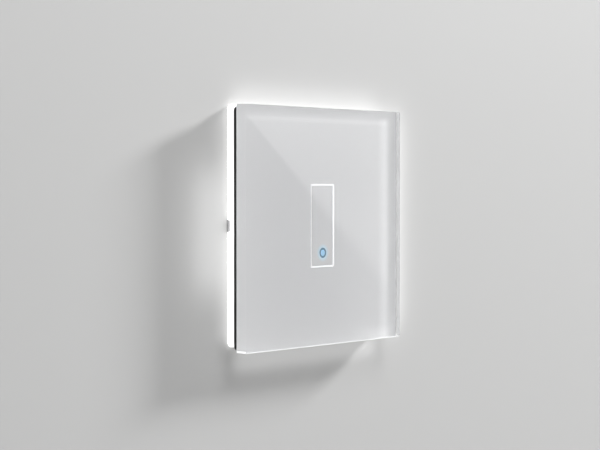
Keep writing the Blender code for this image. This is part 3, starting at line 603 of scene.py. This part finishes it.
def makePrint(setup):
    low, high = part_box("glass_panel")
    middle = (0.0, (low.z + high.z) / 2)
    size = high.x - low.x - 2 * setup["margin"]
    back = high.y - setup["sink"]
    front = back - setup["thickness"]
    width, height = setup["fieldWidth"], setup["fieldHeight"]
    side, end = setup["sideLine"], setup["endLine"]
    loops = [rectangleLoop(size, size, middle),
             rectangleLoop(width + side, height + end, setup["fieldMiddle"]),
             rectangleLoop(width - side, height - end, setup["fieldMiddle"])]
    sheet = flatPiece("glassPrint", loops, front, back)
    sheet.data.materials.append(makePrintFinish(setup))
    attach(sheet, "plate")
    makeRingMark(setup, front)


def makePrintFinish(setup):
    finish = newFinish("bondedPaint", setup["colour"], setup["roughness"], IOR=setup["index"])
    x, z = axisOutputs(finish, "XZ")
    middleX, middleZ = setup["ringMiddle"]
    distance = radiusOutput(finish, minus(finish, x, middleX), minus(finish, z, middleZ))
    ring, blend = setup["ringRadius"], setup["lensBlend"]
    near = rangeOutput(finish, distance, ring, setup["haloReach"], 1.0, 0.0, "SMOOTHSTEP")
    inRing = rangeOutput(finish, distance, ring * (1.0 - blend), ring * (1.0 + blend), 1.0, 0.0)
    # painted light: the ring's blue light is painted into the paint's colour, as a halo round the ring and
    # lighter inside it, and the paint glows there
    overlay(finish, near, setup["paintedHaloLight"])
    overlay(finish, inRing, setup["paintedLensLight"])
    glow = plus(finish, times(finish, inRing, setup["glowInside"]),
                times(finish, near, setup["glowOutside"]))
    addGlow(finish, setup["glowColour"], glow)
    return finish


def makeRingMark(setup, printFront):
    half = setup["ringStroke"] / 2
    loops = [circleLoop(setup["ringRadius"] + half, setup["ringMiddle"]),
             circleLoop(setup["ringRadius"] - half, setup["ringMiddle"])]
    mark = flatPiece("ringMark", loops, printFront - setup["inkFront"], printFront - setup["inkBack"])
    ink = newFinish("ringInk", setup["ringColour"], setup["inkRoughness"], IOR=setup["index"])
    mark.data.materials.append(ink)
    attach(mark, "plate")


makePrint(printSetup)
print("glass, paint and ring mark made")


# Opal light frame, and the plate carrier and adhesive frame in front of it

# Lights in the gap behind the glass, which throw the frame's light on the wall all round it.
# Each reaches from one distance to another outward of the frame's side, at a height over the
# wall; then its strength, its length and how far its middle is moved along the side.
haloSetup = (
    ("left", 0.0, 1.0 * mm, 15.0 * mm, 9.0 * mm, 1.05, 42.0 * mm, -2.0 * mm),
    ("leftNear", 0.0, 0.3 * mm, 4.5 * mm, 2.4 * mm, 0.42, 80.0 * mm, 0.0),
    ("top", 90.0, 1.5 * mm, 6.0 * mm, 4.5 * mm, 0.70, 78.0 * mm, 0.0),
    ("right", 180.0, 1.5 * mm, 12.5 * mm, 6.0 * mm, 1.32, 84.0 * mm, 0.0),
    ("bottom", 270.0, 0.5 * mm, 9.0 * mm, 3.8 * mm, 0.74, 78.0 * mm, 0.0),
)


def makeHaloLight(name, turn, nearEnd, farEnd, height, strength, length, shift):
    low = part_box("light_frame")[0]
    data = bpy.data.lights.new(name + "Halo", "AREA")
    data.shape = "RECTANGLE"
    data.size = farEnd - nearEnd
    data.size_y = length
    data.energy = math.pi * strength * data.size * data.size_y
    lamp = bpy.data.objects.new(name + "Halo", data)
    about = Matrix.Rotation(math.radians(turn), 4, "Y")
    place = Matrix.Translation((low.x - (nearEnd + farEnd) / 2, -height, shift))
    lamp.matrix_world = about @ place @ Matrix.Rotation(math.radians(90.0), 4, "X")
    lamp.visible_camera = False
    lamp.visible_glossy = False
    lamp.visible_transmission = False
    scene.collection.objects.link(lamp)


for haloLight in haloSetup:
    makeHaloLight(*haloLight)

opalSetup = {
    "moulding": (0.93, 0.93, 0.92),
    "roughness": 0.35,
    "colour": (1.0, 1.0, 0.995),      # of its light
    "plain": 0.34,            # strength all over
    "side": 0.75,             # strength of the outer sides
    "bright": 0.85,           # strength of the outer sides near the glass, in front of the lights
    "leftFoot": 2.4,          # strength of the left side near the wall
    "brightFrom": -0.6 * mm,
    "brightFull": -2.0 * mm,
    "sideDepth": 0.1 * mm,
    "leftDepth": 1.7 * mm,    # how far round its corners the left side reaches
    "cornerSum": 82.6 * mm,   # the rounded corners are where |x| + |z| is more than this
    "notchHalf": 3.12 * mm,
    "notchFrom": 0.02 * mm,
    "notchDepth": 1.3 * mm,
    "notchGlow": 0.55,
    "rimHalf": 2.1 * mm,
    "rimFront": -0.52 * mm,
    # painted shade on the notch's rim at the wall
    "paintedRimShade": (0.40, 0.40, 0.41),
}


def makeOpalFinish(setup):
    finish = newFinish("opalMoulding", setup["moulding"], setup["roughness"])
    low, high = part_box("light_frame")
    x, y, z = axisOutputs(finish)
    acrossX = mathNode(finish, "ABSOLUTE", x)
    acrossZ = mathNode(finish, "ABSOLUTE", z)
    onSide = isOver(finish, larger(finish, acrossX, acrossZ), high.x - setup["sideDepth"])
    atCorner = isOver(finish, plus(finish, acrossX, acrossZ), setup["cornerSum"])
    outside = larger(finish, onSide, atCorner)
    full, start = setup["brightFull"], setup["brightFrom"]
    lit = rangeOutput(finish, y, full, start, setup["bright"] - setup["plain"],
                      setup["side"] - setup["plain"], "SMOOTHSTEP")
    foot = rangeOutput(finish, y, full, start, 0.0, setup["leftFoot"] - setup["side"], "SMOOTHSTEP")
    onLeft = times(finish, isUnder(finish, x, low.x + setup["leftDepth"]), outside)
    strength = plus(finish, times(finish, lit, outside), setup["plain"])
    strength = plus(finish, times(finish, foot, onLeft), strength)

    # the notch in the left side glows dimmer; its rim at the wall does not glow and gets a painted grey
    # shade
    depth = minus(finish, x, low.x)
    shallow = isUnder(finish, depth, setup["notchDepth"])
    inNotch = times(finish, isOver(finish, depth, setup["notchFrom"]),
                    isUnder(finish, acrossZ, setup["notchHalf"]))
    onRim = times(finish, isUnder(finish, acrossZ, setup["rimHalf"]), isOver(finish, y, setup["rimFront"]))
    onRim = times(finish, onRim, shallow)
    inNotch = larger(finish, times(finish, inNotch, shallow), onRim)
    dim = times(finish, opposite(finish, onRim), setup["notchGlow"])
    addGlow(finish, setup["colour"], mixOutput(finish, inNotch, strength, dim, "FLOAT"))
    # painted shade on the rim at the wall
    overlay(finish, onRim, setup["paintedRimShade"])
    return finish


dress("light_frame", makeOpalFinish(opalSetup))

plateFinishes = {
    "carrierMoulding": {"colour": (0.012, 0.012, 0.013), "roughness": 0.55, "grain": 0.4 * mm,
                        "spread": 0.2, "roughSpread": 0.1, "height": 0.02 * mm,
                        "nodes": ["plate_carrier"]},
    "foamTape": {"colour": (0.70, 0.70, 0.69), "roughness": 0.9, "grain": 0.3 * mm, "spread": 0.12,
                 "roughSpread": 0.05, "height": 0.05 * mm, "nodes": ["adhesive_frame"]},
}
finishPieces(plateFinishes)
print("carrier and light frame finished")


# What stands on the wall box, seen with the plate off and from behind

plainFinishes = {
    "zincPlate": {"colour": (0.62, 0.63, 0.64), "roughness": 0.32, "metallic": 1.0, "grain": 1.5 * mm,
                  "stretch": (1.0, 1.0, 14.0), "spread": 0.08, "nodes": ["support_plate", "radio_shield"]},
    "screwSteel": {"colour": (0.56, 0.56, 0.57), "roughness": 0.3, "metallic": 1.0, "grain": 1.2 * mm,
                   "spread": 0.05,
                   "nodes": ["board_screw"] + numbered("frame_screw", 4) + numbered("housing_screw", 2)
                            + numbered("wall_screw", 2) + numbered("terminal_screw", 3)},
    "housingMoulding": {"colour": (0.76, 0.76, 0.75), "roughness": 0.5, "grain": 0.6 * mm, "spread": 0.02,
                        "height": 0.01 * mm, "nodes": ["housing"]},
    "grommetRubber": {"colour": (0.05, 0.05, 0.05), "roughness": 0.75, "grain": 0.3 * mm, "spread": 0.2,
                      "height": 0.01 * mm, "nodes": numbered("plate_grommet", 4)},
    "whiteMask": {"colour": (0.80, 0.80, 0.78), "roughness": 0.35, "grain": 0.8 * mm, "spread": 0.03,
                  "traces": (0.70, 0.71, 0.68), "nodes": ["ring_board", "touch_board"]},
    "greenMask": {"colour": (0.02, 0.16, 0.07), "roughness": 0.3, "grain": 0.8 * mm, "spread": 0.15,
                  "traces": (0.05, 0.26, 0.10), "nodes": ["main_board", "radio_module"]},
    "chipResin": {"colour": (0.018, 0.018, 0.019), "roughness": 0.5, "grain": 0.2 * mm, "spread": 0.25,
                  "height": 0.005 * mm, "nodes": ["touch_chip", "header_socket", "header_plug"]},
    "lightResin": {"colour": (0.86, 0.85, 0.80), "roughness": 0.4, "grain": 0.4 * mm, "spread": 0.04,
                   "nodes": numbered("edge_led", 8) + ["status_led"] + numbered("field_led", 2)},
    "maskMoulding": {"colour": (0.014, 0.014, 0.015), "roughness": 0.6, "grain": 0.4 * mm, "spread": 0.2,
                     "height": 0.01 * mm, "nodes": ["light_mask"]},
    "varistorCoat": {"colour": (0.04, 0.16, 0.38), "roughness": 0.35, "grain": 0.6 * mm, "spread": 0.12,
                     "height": 0.03 * mm, "nodes": ["varistor"]},
    "terminalMoulding": {"colour": (0.16, 0.17, 0.18), "roughness": 0.5, "grain": 0.5 * mm, "spread": 0.1,
                         "height": 0.01 * mm, "nodes": ["terminal_block"]},
    "tinnedCopper": {"colour": (0.72, 0.70, 0.66), "roughness": 0.3, "metallic": 1.0, "grain": 0.3 * mm,
                     "spread": 0.1, "nodes": numbered("contact", 3) + ["touch_spring"]},
    "brass": {"colour": (0.72, 0.52, 0.24), "roughness": 0.3, "metallic": 1.0, "grain": 0.4 * mm,
              "spread": 0.1, "nodes": numbered("wire_clamp", 3)},
}

traceSetup = {
    "pitch": 0.8 * mm,
    "share": 0.15,            # half the line's width, as a share of the pitch
    "swing": 6.5 * mm,        # the lines step aside and back over this length
    "flatFrom": 1.8 * mm,
    "flatTo": 4.3 * mm,
    "patch": 7.0 * mm,        # size of the areas with and without lines
    "patchLevel": 0.47,       # the noise is above this where there are lines
    "rise": 0.02 * mm,
}


def addTraces(finish, colour, setup):
    # raised copper lines under the board's mask, bent at 45 degrees
    x, z = axisOutputs(finish, "XZ")
    step = larger(finish, mathNode(finish, "PINGPONG", x, setup["swing"]), setup["flatFrom"])
    step = mathNode(finish, "MINIMUM", step, setup["flatTo"])
    across = mathNode(finish, "DIVIDE", plus(finish, z, step), setup["pitch"])
    offset = fromMiddle(finish, mathNode(finish, "FRACT", across), 0.0, 1.0)
    routed = isOver(finish, noiseOutput(finish, setup["patch"], 0.0), setup["patchLevel"])
    line = times(finish, isUnder(finish, offset, setup["share"]), routed)
    overlay(finish, line, colour)
    addBump(finish, line, setup["rise"])


innerFinishes = finishPieces(plainFinishes)


# Components of the main board

canSetup = {
    "nodes": numbered("capacitor", 2),
    "sleeve": (0.03, 0.03, 0.06),
    "roughness": 0.3,
    "grain": 0.6 * mm,
    "spread": 0.15,
    "band": (0.45, 0.46, 0.48),
    "bandFrom": 0.72,         # share of the radius from which the band shows
    "metal": (0.70, 0.70, 0.71),
    "metalRoughness": 0.35,
    "bareTop": 0.72,          # share of the radius that the sleeve leaves bare
}


def makeCanFinish(node, setup):
    low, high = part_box(node)
    radius = (high.x - low.x) / 2
    middle = (low + high) / 2
    finish = newFinish(node + "Sleeve", setup["sleeve"], setup["roughness"])
    mottled(finish, setup["grain"], setup["spread"])
    x, y, z = axisOutputs(finish)
    across = minus(finish, x, middle.x)
    overlay(finish, isOver(finish, across, radius * setup["bandFrom"]), setup["band"])
    away = radiusOutput(finish, across, minus(finish, z, middle.z))
    onTop = times(finish, isUnder(finish, away, radius * setup["bareTop"]), isOver(finish, y, middle.y))
    overlay(finish, onTop, setup["metal"], setup["metalRoughness"], 1.0)
    dress(node, finish)


windingSetup = {
    "ferrite": (0.035, 0.035, 0.037),
    "roughness": 0.6,
    "grain": 0.4 * mm,
    "spread": 0.2,
    "tape": (0.70, 0.55, 0.08),
    "tapeRoughness": 0.4,
    "bobbin": (0.06, 0.06, 0.065),
    "bobbinRoughness": 0.5,
    "bobbinHeight": 1.8 * mm,
    "leg": 2.75 * mm,
    "coreShare": 0.55,        # of its height, and the tape starts just past it
    "coreGap": 0.02 * mm,
}


def makeTransformerFinish(setup):
    low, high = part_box("transformer")
    finish = newFinish("transformerCore", setup["ferrite"], setup["roughness"])
    mottled(finish, setup["grain"], setup["spread"])
    y, z = axisOutputs(finish, "YZ")
    beyond = isOver(finish, fromMiddle(finish, z, low.z, high.z),
                    (high.z - low.z) / 2 * setup["coreShare"] + setup["coreGap"])
    between = isUnder(finish, fromMiddle(finish, y, low.y, high.y), (high.y - low.y) / 2 - setup["leg"])
    overlay(finish, times(finish, beyond, between), setup["tape"], setup["tapeRoughness"])
    foot = isUnder(finish, y, low.y + setup["bobbinHeight"])
    overlay(finish, times(finish, beyond, foot), setup["bobbin"], setup["bobbinRoughness"])
    dress("transformer", finish)


fuseSetup = {
    "body": (0.46, 0.42, 0.33),
    "roughness": 0.5,
    "grain": 0.6 * mm,
    "spread": 0.12,
    "relief": 0.02 * mm,
    "cap": (0.72, 0.70, 0.66),
    "capRoughness": 0.3,
    "capLength": 2.1 * mm,
}


def makeFuseFinish(setup):
    low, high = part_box("fuse")
    finish = newFinish("fuseBody", setup["body"], setup["roughness"])
    mottled(finish, setup["grain"], setup["spread"], height=setup["relief"])
    x = axisOutputs(finish)[0]
    onCap = isOver(finish, fromMiddle(finish, x, low.x, high.x), (high.x - low.x) / 2 - setup["capLength"])
    overlay(finish, onCap, setup["cap"], setup["capRoughness"], 1.0)
    dress("fuse", finish)


caseSetups = {
    "relay": {"name": "relayCase", "case": (0.03, 0.10, 0.30), "grain": 0.5 * mm, "spread": 0.08,
              "resin": (0.02, 0.02, 0.022)},
    "film_capacitor": {"name": "filmCase", "case": (0.62, 0.40, 0.05), "grain": 0.6 * mm, "spread": 0.06,
                       "resin": (0.42, 0.26, 0.03)},
}
caseRoughness = 0.35
resinRoughness = 0.25
resinHeight = 1.1 * mm        # the resin that seals a case shows at its foot


def makeCaseFinish(node, setup):
    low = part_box(node)[0]
    finish = newFinish(setup["name"], setup["case"], caseRoughness)
    mottled(finish, setup["grain"], setup["spread"])
    y = axisOutputs(finish)[1]
    overlay(finish, isUnder(finish, y, low.y + resinHeight), setup["resin"], resinRoughness)
    dress(node, finish)


for canNode in canSetup["nodes"]:
    makeCanFinish(canNode, canSetup)
makeTransformerFinish(windingSetup)
makeFuseFinish(fuseSetup)
for caseNode, caseLook in caseSetups.items():
    makeCaseFinish(caseNode, caseLook)


# Light guides and the ribbon of the ring board

guideSetup = {
    "moulding": (0.88, 0.90, 0.92),
    "roughness": 0.15,
    "colour": (0.95, 0.98, 1.0),      # of its light
    "front": 0.75,            # strength at its front end
    "back": 0.225,
}


def makeGuideFinish(setup):
    low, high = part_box("field_guide")
    finish = newFinish("clearGuide", setup["moulding"], setup["roughness"])
    y = axisOutputs(finish)[1]
    addGlow(finish, setup["colour"], rangeOutput(finish, y, low.y, high.y, setup["front"], setup["back"]))
    return finish


ribbonSetup = {
    "film": (0.78, 0.78, 0.75),
    "copper": (0.62, 0.40, 0.20),
    "pitch": 0.44 * mm,
    "filmEnd": 0.05,          # values of the sine across a track
    "copperStart": 0.25,
    "grain": 0.5 * mm,
    "roughness": (0.28, 0.42),
}


def makeRibbonFinish(setup):
    finish = newFinish("ribbonFilm", setup["film"], setup["roughness"][0])
    x = axisOutputs(finish)[0]
    wave = mathNode(finish, "SINE", times(finish, x, math.tau / setup["pitch"]))
    stops = [(setup["filmEnd"], setup["film"]), (setup["copperStart"], setup["copper"])]
    tone = rampOutput(finish, wave, stops)
    join(finish, tone, shaderOf(finish).inputs["Base Color"])
    gloss = rangeOutput(finish, noiseOutput(finish, setup["grain"]), *noiseSpan, *setup["roughness"])
    join(finish, gloss, shaderOf(finish).inputs["Roughness"])
    return finish


guideFinish = makeGuideFinish(guideSetup)
dress("field_guide", guideFinish)
dress("ring_guide", guideFinish)
dress("led_ribbon", makeRibbonFinish(ribbonSetup))
print("inner pieces finished")


# Details of the module in the wall box

def putOnBase(piece, finish):
    piece.data.materials.append(finish)
    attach(piece, "base")


def boxesPiece(name, boxes):
    bm = bmesh.new()
    for low, high in boxes:
        made = bmesh.ops.create_cube(bm, size=1.0)["verts"]
        bmesh.ops.scale(bm, vec=[b - a for a, b in zip(low, high)], verts=made)
        bmesh.ops.translate(bm, vec=[(a + b) / 2 for a, b in zip(low, high)], verts=made)
    return addPiece(name, bm)


solderSetup = {
    "foot": 0.75 * mm,
    "top": 0.28 * mm,
    "rise": 0.5 * mm,
    "sink": 0.05 * mm,
    "steps": 10,
    "leads": {                # places in shares of the component's width and height, from its middle
        "relay": ((-0.38, -0.3), (-0.38, 0.3), (0.1, -0.3), (0.38, 0.0)),
        "transformer": ((-0.35, -0.4), (0.35, -0.4), (-0.35, 0.4), (0.35, 0.4)),
        "capacitor_1": ((-0.25, 0.0), (0.25, 0.0)),
        "capacitor_2": ((-0.25, 0.0), (0.25, 0.0)),
        "film_capacitor": ((-0.4, 0.0), (0.4, 0.0)),
        "varistor": ((-0.3, 0.0), (0.3, 0.0)),
        "fuse": ((-0.35, 0.0), (0.35, 0.0)),
        "contact_1": ((0.0, 0.0),),
        "contact_2": ((0.0, 0.0),),
        "contact_3": ((0.0, 0.0),),
    },
}


def makeSolder(setup):
    # one joint for each lead, on the side of the main board away from the components
    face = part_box("main_board")[0].y
    y = face + setup["sink"] - setup["rise"] / 2
    towardFront = Matrix.Rotation(math.pi / 2, 3, "X")       # a cone's axis is Z, and turns to -Y
    bm = bmesh.new()
    for node, places in setup["leads"].items():
        low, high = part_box(node)
        middle, size = (low + high) / 2, high - low
        for across, up in places:
            made = bmesh.ops.create_cone(bm, cap_ends=True, segments=setup["steps"],
                                         radius1=setup["foot"], radius2=setup["top"],
                                         depth=setup["rise"])["verts"]
            bmesh.ops.rotate(bm, cent=(0, 0, 0), matrix=towardFront, verts=made)
            place = Vector((middle.x + size.x * across, y, middle.z + size.z * up))
            bmesh.ops.translate(bm, vec=place, verts=made)
    putOnBase(addPiece("solderJoints", bm), innerFinishes["tinnedCopper"])


threadSetup = {
    "core": 1.6 * mm,
    "crest": 0.32 * mm,
    "root": 0.12 * mm,
    "halfWidth": 0.36 * mm,
    "pitch": 1.25 * mm,
    "start": 0.7 * mm,
    "taper": 3.2 * mm,         # length of the screw's point
    "tip": 0.55 * mm,
    "least": 0.05 * mm,        # radius that the inner edge keeps at the point
    "steps": 20,
}


def threadRing(setup, middle, y, angle, end, grow):
    core = setup["core"]
    past = y - (end - setup["taper"])
    if past > 0:
        core -= (setup["core"] - setup["tip"]) * past / setup["taper"]
    out = Vector((math.cos(angle), 0.0, math.sin(angle)))
    centre = Vector((middle.x, y, middle.z))
    inner = centre + out * max(core - setup["root"], setup["least"])
    side = Vector((0.0, setup["halfWidth"], 0.0))
    return inner - side, centre + out * (core + setup["crest"] * grow), inner + side


def makeThread(setup, number):
    low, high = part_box(f"wall_screw_{number}")
    middle = (low + high) / 2
    steps = setup["steps"]
    end = high.y - setup["halfWidth"]
    length = end - setup["start"]
    count = int(length / setup["pitch"] * steps)
    bm = bmesh.new()
    rings = []
    for i in range(count + 1):
        y = setup["start"] + length * i / count
        grow = min(i / steps, (count - i) / steps, 1.0)
        corners = threadRing(setup, middle, y, math.tau * i / steps, end, grow)
        rings.append([bm.verts.new(corner) for corner in corners])
    bm.faces.new(rings[0])
    for ring, following in zip(rings, rings[1:]):
        bridge(bm, ring, following)
    bm.faces.new(rings[-1][::-1])
    putOnBase(addPiece(f"wallScrewThread_{number}", bm), innerFinishes["screwSteel"])


housingSetup = {
    "half": 22.8 * mm,
    "cut": 9.0 * mm,
    "rimProud": 0.35 * mm,
    "sink": 0.1 * mm,
    "rimFront": 20.5 * mm,
    "rimBack": 21.5 * mm,
    "rimOpening": 12.9 * mm,       # half the width that the rim leaves for the terminals
    "latchWidth": 3.6 * mm,
    "latchLength": 2.4 * mm,
    "latchProud": 0.5 * mm,
    # degrees about Y, and the place along that side
    "latches": ((0, -7.0 * mm), (0, 7.0 * mm), (90, 9.6 * mm), (-90, -9.6 * mm)),
}


def cutCornerLoop(half, cut, opening):
    near = half - cut
    right = [(opening, -half), (near, -half), (half, -near), (half, near), (near, half)]
    return right + [(-x, z) for x, z in reversed(right)]


def makeHousingRim(setup):
    # moved outward, the cut corners get longer by this share of the distance
    grow = 2.0 - math.sqrt(2.0)
    half, cut, proud, sink = setup["half"], setup["cut"], setup["rimProud"], setup["sink"]
    outer = cutCornerLoop(half + proud, cut + proud * grow, setup["rimOpening"])
    inner = cutCornerLoop(half - sink, cut - sink * grow, setup["rimOpening"])
    rim = flatPiece("housingRim", [outer + inner[::-1]], setup["rimFront"], setup["rimBack"])
    putOnBase(rim, innerFinishes["housingMoulding"])


def makeLatches(setup):
    root = setup["half"] - setup["sink"]
    back = setup["rimFront"]
    front = back - setup["latchLength"]
    side = setup["latchWidth"] / 2
    profile = ((front, root), (back, root), (back, setup["half"] + setup["latchProud"]))
    bm = bmesh.new()
    for turn, place in setup["latches"]:
        about = Matrix.Rotation(math.radians(turn), 4, "Y")
        first, second = ([bm.verts.new(about @ Vector((x, y, z))) for y, z in profile]
                         for x in (place - side, place + side))
        bm.faces.new(first)
        bm.faces.new(second[::-1])
        bridge(bm, first, second)
    putOnBase(addPiece("housingLatches", bm), innerFinishes["housingMoulding"])


boardSetup = {
    "leds": numbered("edge_led", 8) + numbered("field_led", 2) + ["status_led"],
    "capLength": 0.32 * mm,
    "capGrow": 0.03 * mm,
    "phosphor": (0.96, 0.80, 0.30),
    "phosphorRoughness": 0.45,
    "phosphorGrain": 0.2 * mm,
    "phosphorSpread": 0.06,
    "phosphorGlow": 0.5,
    "phosphorRise": 0.05 * mm,
    "phosphorEdge": 0.18 * mm,
    "chipSize": (1.2 * mm, 0.6 * mm, 0.35 * mm),
    "chipSink": 0.02 * mm,
    "chipAway": 4.2 * mm,
    "traceWidth": 0.22 * mm,
    "traceRise": 0.02 * mm,
    "ringTraces": (76.9 * mm, 80.3 * mm),
    "padMiddle": (0.0, 4.0 * mm),
    "padRadii": (3.3 * mm, 2.7 * mm),
    "touchChips": ((-3.4 * mm, -3.6 * mm), (-3.4 * mm, -5.2 * mm),
                   (3.4 * mm, -4.4 * mm), (3.4 * mm, 9.4 * mm)),
}


def endCaps(setup, body, along):
    # the soldered ends of a small component that lies along X (0) or Z (2)
    low, high = body
    caps = []
    for atEnd in (False, True):
        a = [v - setup["capGrow"] for v in low]
        b = [v + setup["capGrow"] for v in high]
        if atEnd:
            a[along] = high[along] - setup["capLength"]
        else:
            b[along] = low[along] + setup["capLength"]
        caps.append((a, b))
    return caps


def chipBody(setup, x, z, along, board, out):
    length, width, height = setup["chipSize"]
    halfX, halfZ = (length / 2, width / 2) if along == 0 else (width / 2, length / 2)
    front, back = sorted((board - out * setup["chipSink"], board + out * height))
    return (x - halfX, front, z - halfZ), (x + halfX, back, z + halfZ)


def phosphorPatch(setup, low, high, along, out):
    # the yellow window on the face of an LED, between its end caps
    face = high.y if out > 0 else low.y
    inset = [setup["phosphorEdge"] + (setup["capLength"] if axis == along else 0.0) for axis in (0, 2)]
    front, back = face - setup["phosphorRise"], face + setup["phosphorRise"]
    return (low.x + inset[0], front, low.z + inset[1]), (high.x - inset[0], back, high.z - inset[1])


def makeSmallParts(setup, ringFace, touchFace):
    caps = []
    patches = []
    bodies = []
    for node in setup["leds"]:
        low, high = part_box(node)
        along = 0 if high.x - low.x >= high.z - low.z else 2
        onRing = node.startswith("edge")
        caps += endCaps(setup, (low, high), along)
        patches.append(phosphorPatch(setup, low, high, along, 1 if onRing else -1))
        if onRing:
            middle = (low + high) / 2
            middle[along] += setup["chipAway"]
            bodies.append(chipBody(setup, middle.x, middle.z, along, ringFace, 1))
            caps += endCaps(setup, bodies[-1], along)
    for x, z in setup["touchChips"]:
        bodies.append(chipBody(setup, x, z, 2, touchFace, -1))
        caps += endCaps(setup, bodies[-1], 2)
    putOnBase(boxesPiece("chipEnds", caps), innerFinishes["tinnedCopper"])
    putOnBase(boxesPiece("chipBodies", bodies), innerFinishes["chipResin"])
    phosphor = newFinish("ledPhosphor", setup["phosphor"], setup["phosphorRoughness"])
    mottled(phosphor, setup["phosphorGrain"], setup["phosphorSpread"])
    addGlow(phosphor, setup["phosphor"], setup["phosphorGlow"])
    putOnBase(boxesPiece("ledLenses", patches), phosphor)


def makeCopper(setup, ringFace, touchFace):
    copper = innerFinishes["tinnedCopper"]
    width, rise = setup["traceWidth"], setup["traceRise"]
    for number, size in enumerate(setup["ringTraces"], 1):
        loops = [rectangleLoop(size + width, size + width), rectangleLoop(size - width, size - width)]
        trace = flatPiece(f"ringTrace_{number}", loops, ringFace - rise, ringFace + rise)
        putOnBase(trace, copper)
    loops = [circleLoop(radius, setup["padMiddle"]) for radius in setup["padRadii"]]
    putOnBase(flatPiece("touchPad", loops, touchFace - rise, touchFace + rise), copper)


makeSolder(solderSetup)
for screwNumber in (1, 2):
    makeThread(threadSetup, screwNumber)
makeHousingRim(housingSetup)
makeLatches(housingSetup)
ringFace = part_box("ring_board")[1].y
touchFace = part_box("touch_board")[0].y
makeSmallParts(boardSetup, ringFace, touchFace)
makeCopper(boardSetup, ringFace, touchFace)


softSetup = {
    "edges": {"housing": 0.35 * mm, "terminal_block": 0.12 * mm},
    "segments": 2,
    "angle": 40.0,
    "weld": 0.001 * mm,
}


def softenEdges(node, width, setup):
    weld = nodes[node].modifiers.new("weld", "WELD")
    weld.merge_threshold = setup["weld"]
    bevel = nodes[node].modifiers.new("soften", "BEVEL")
    bevel.width = width
    bevel.segments = setup["segments"]
    bevel.limit_method = "ANGLE"
    bevel.angle_limit = math.radians(setup["angle"])
    bevel.use_clamp_overlap = True


for softNode, softWidth in softSetup["edges"].items():
    softenEdges(softNode, softWidth, softSetup)
print("details of the module made")
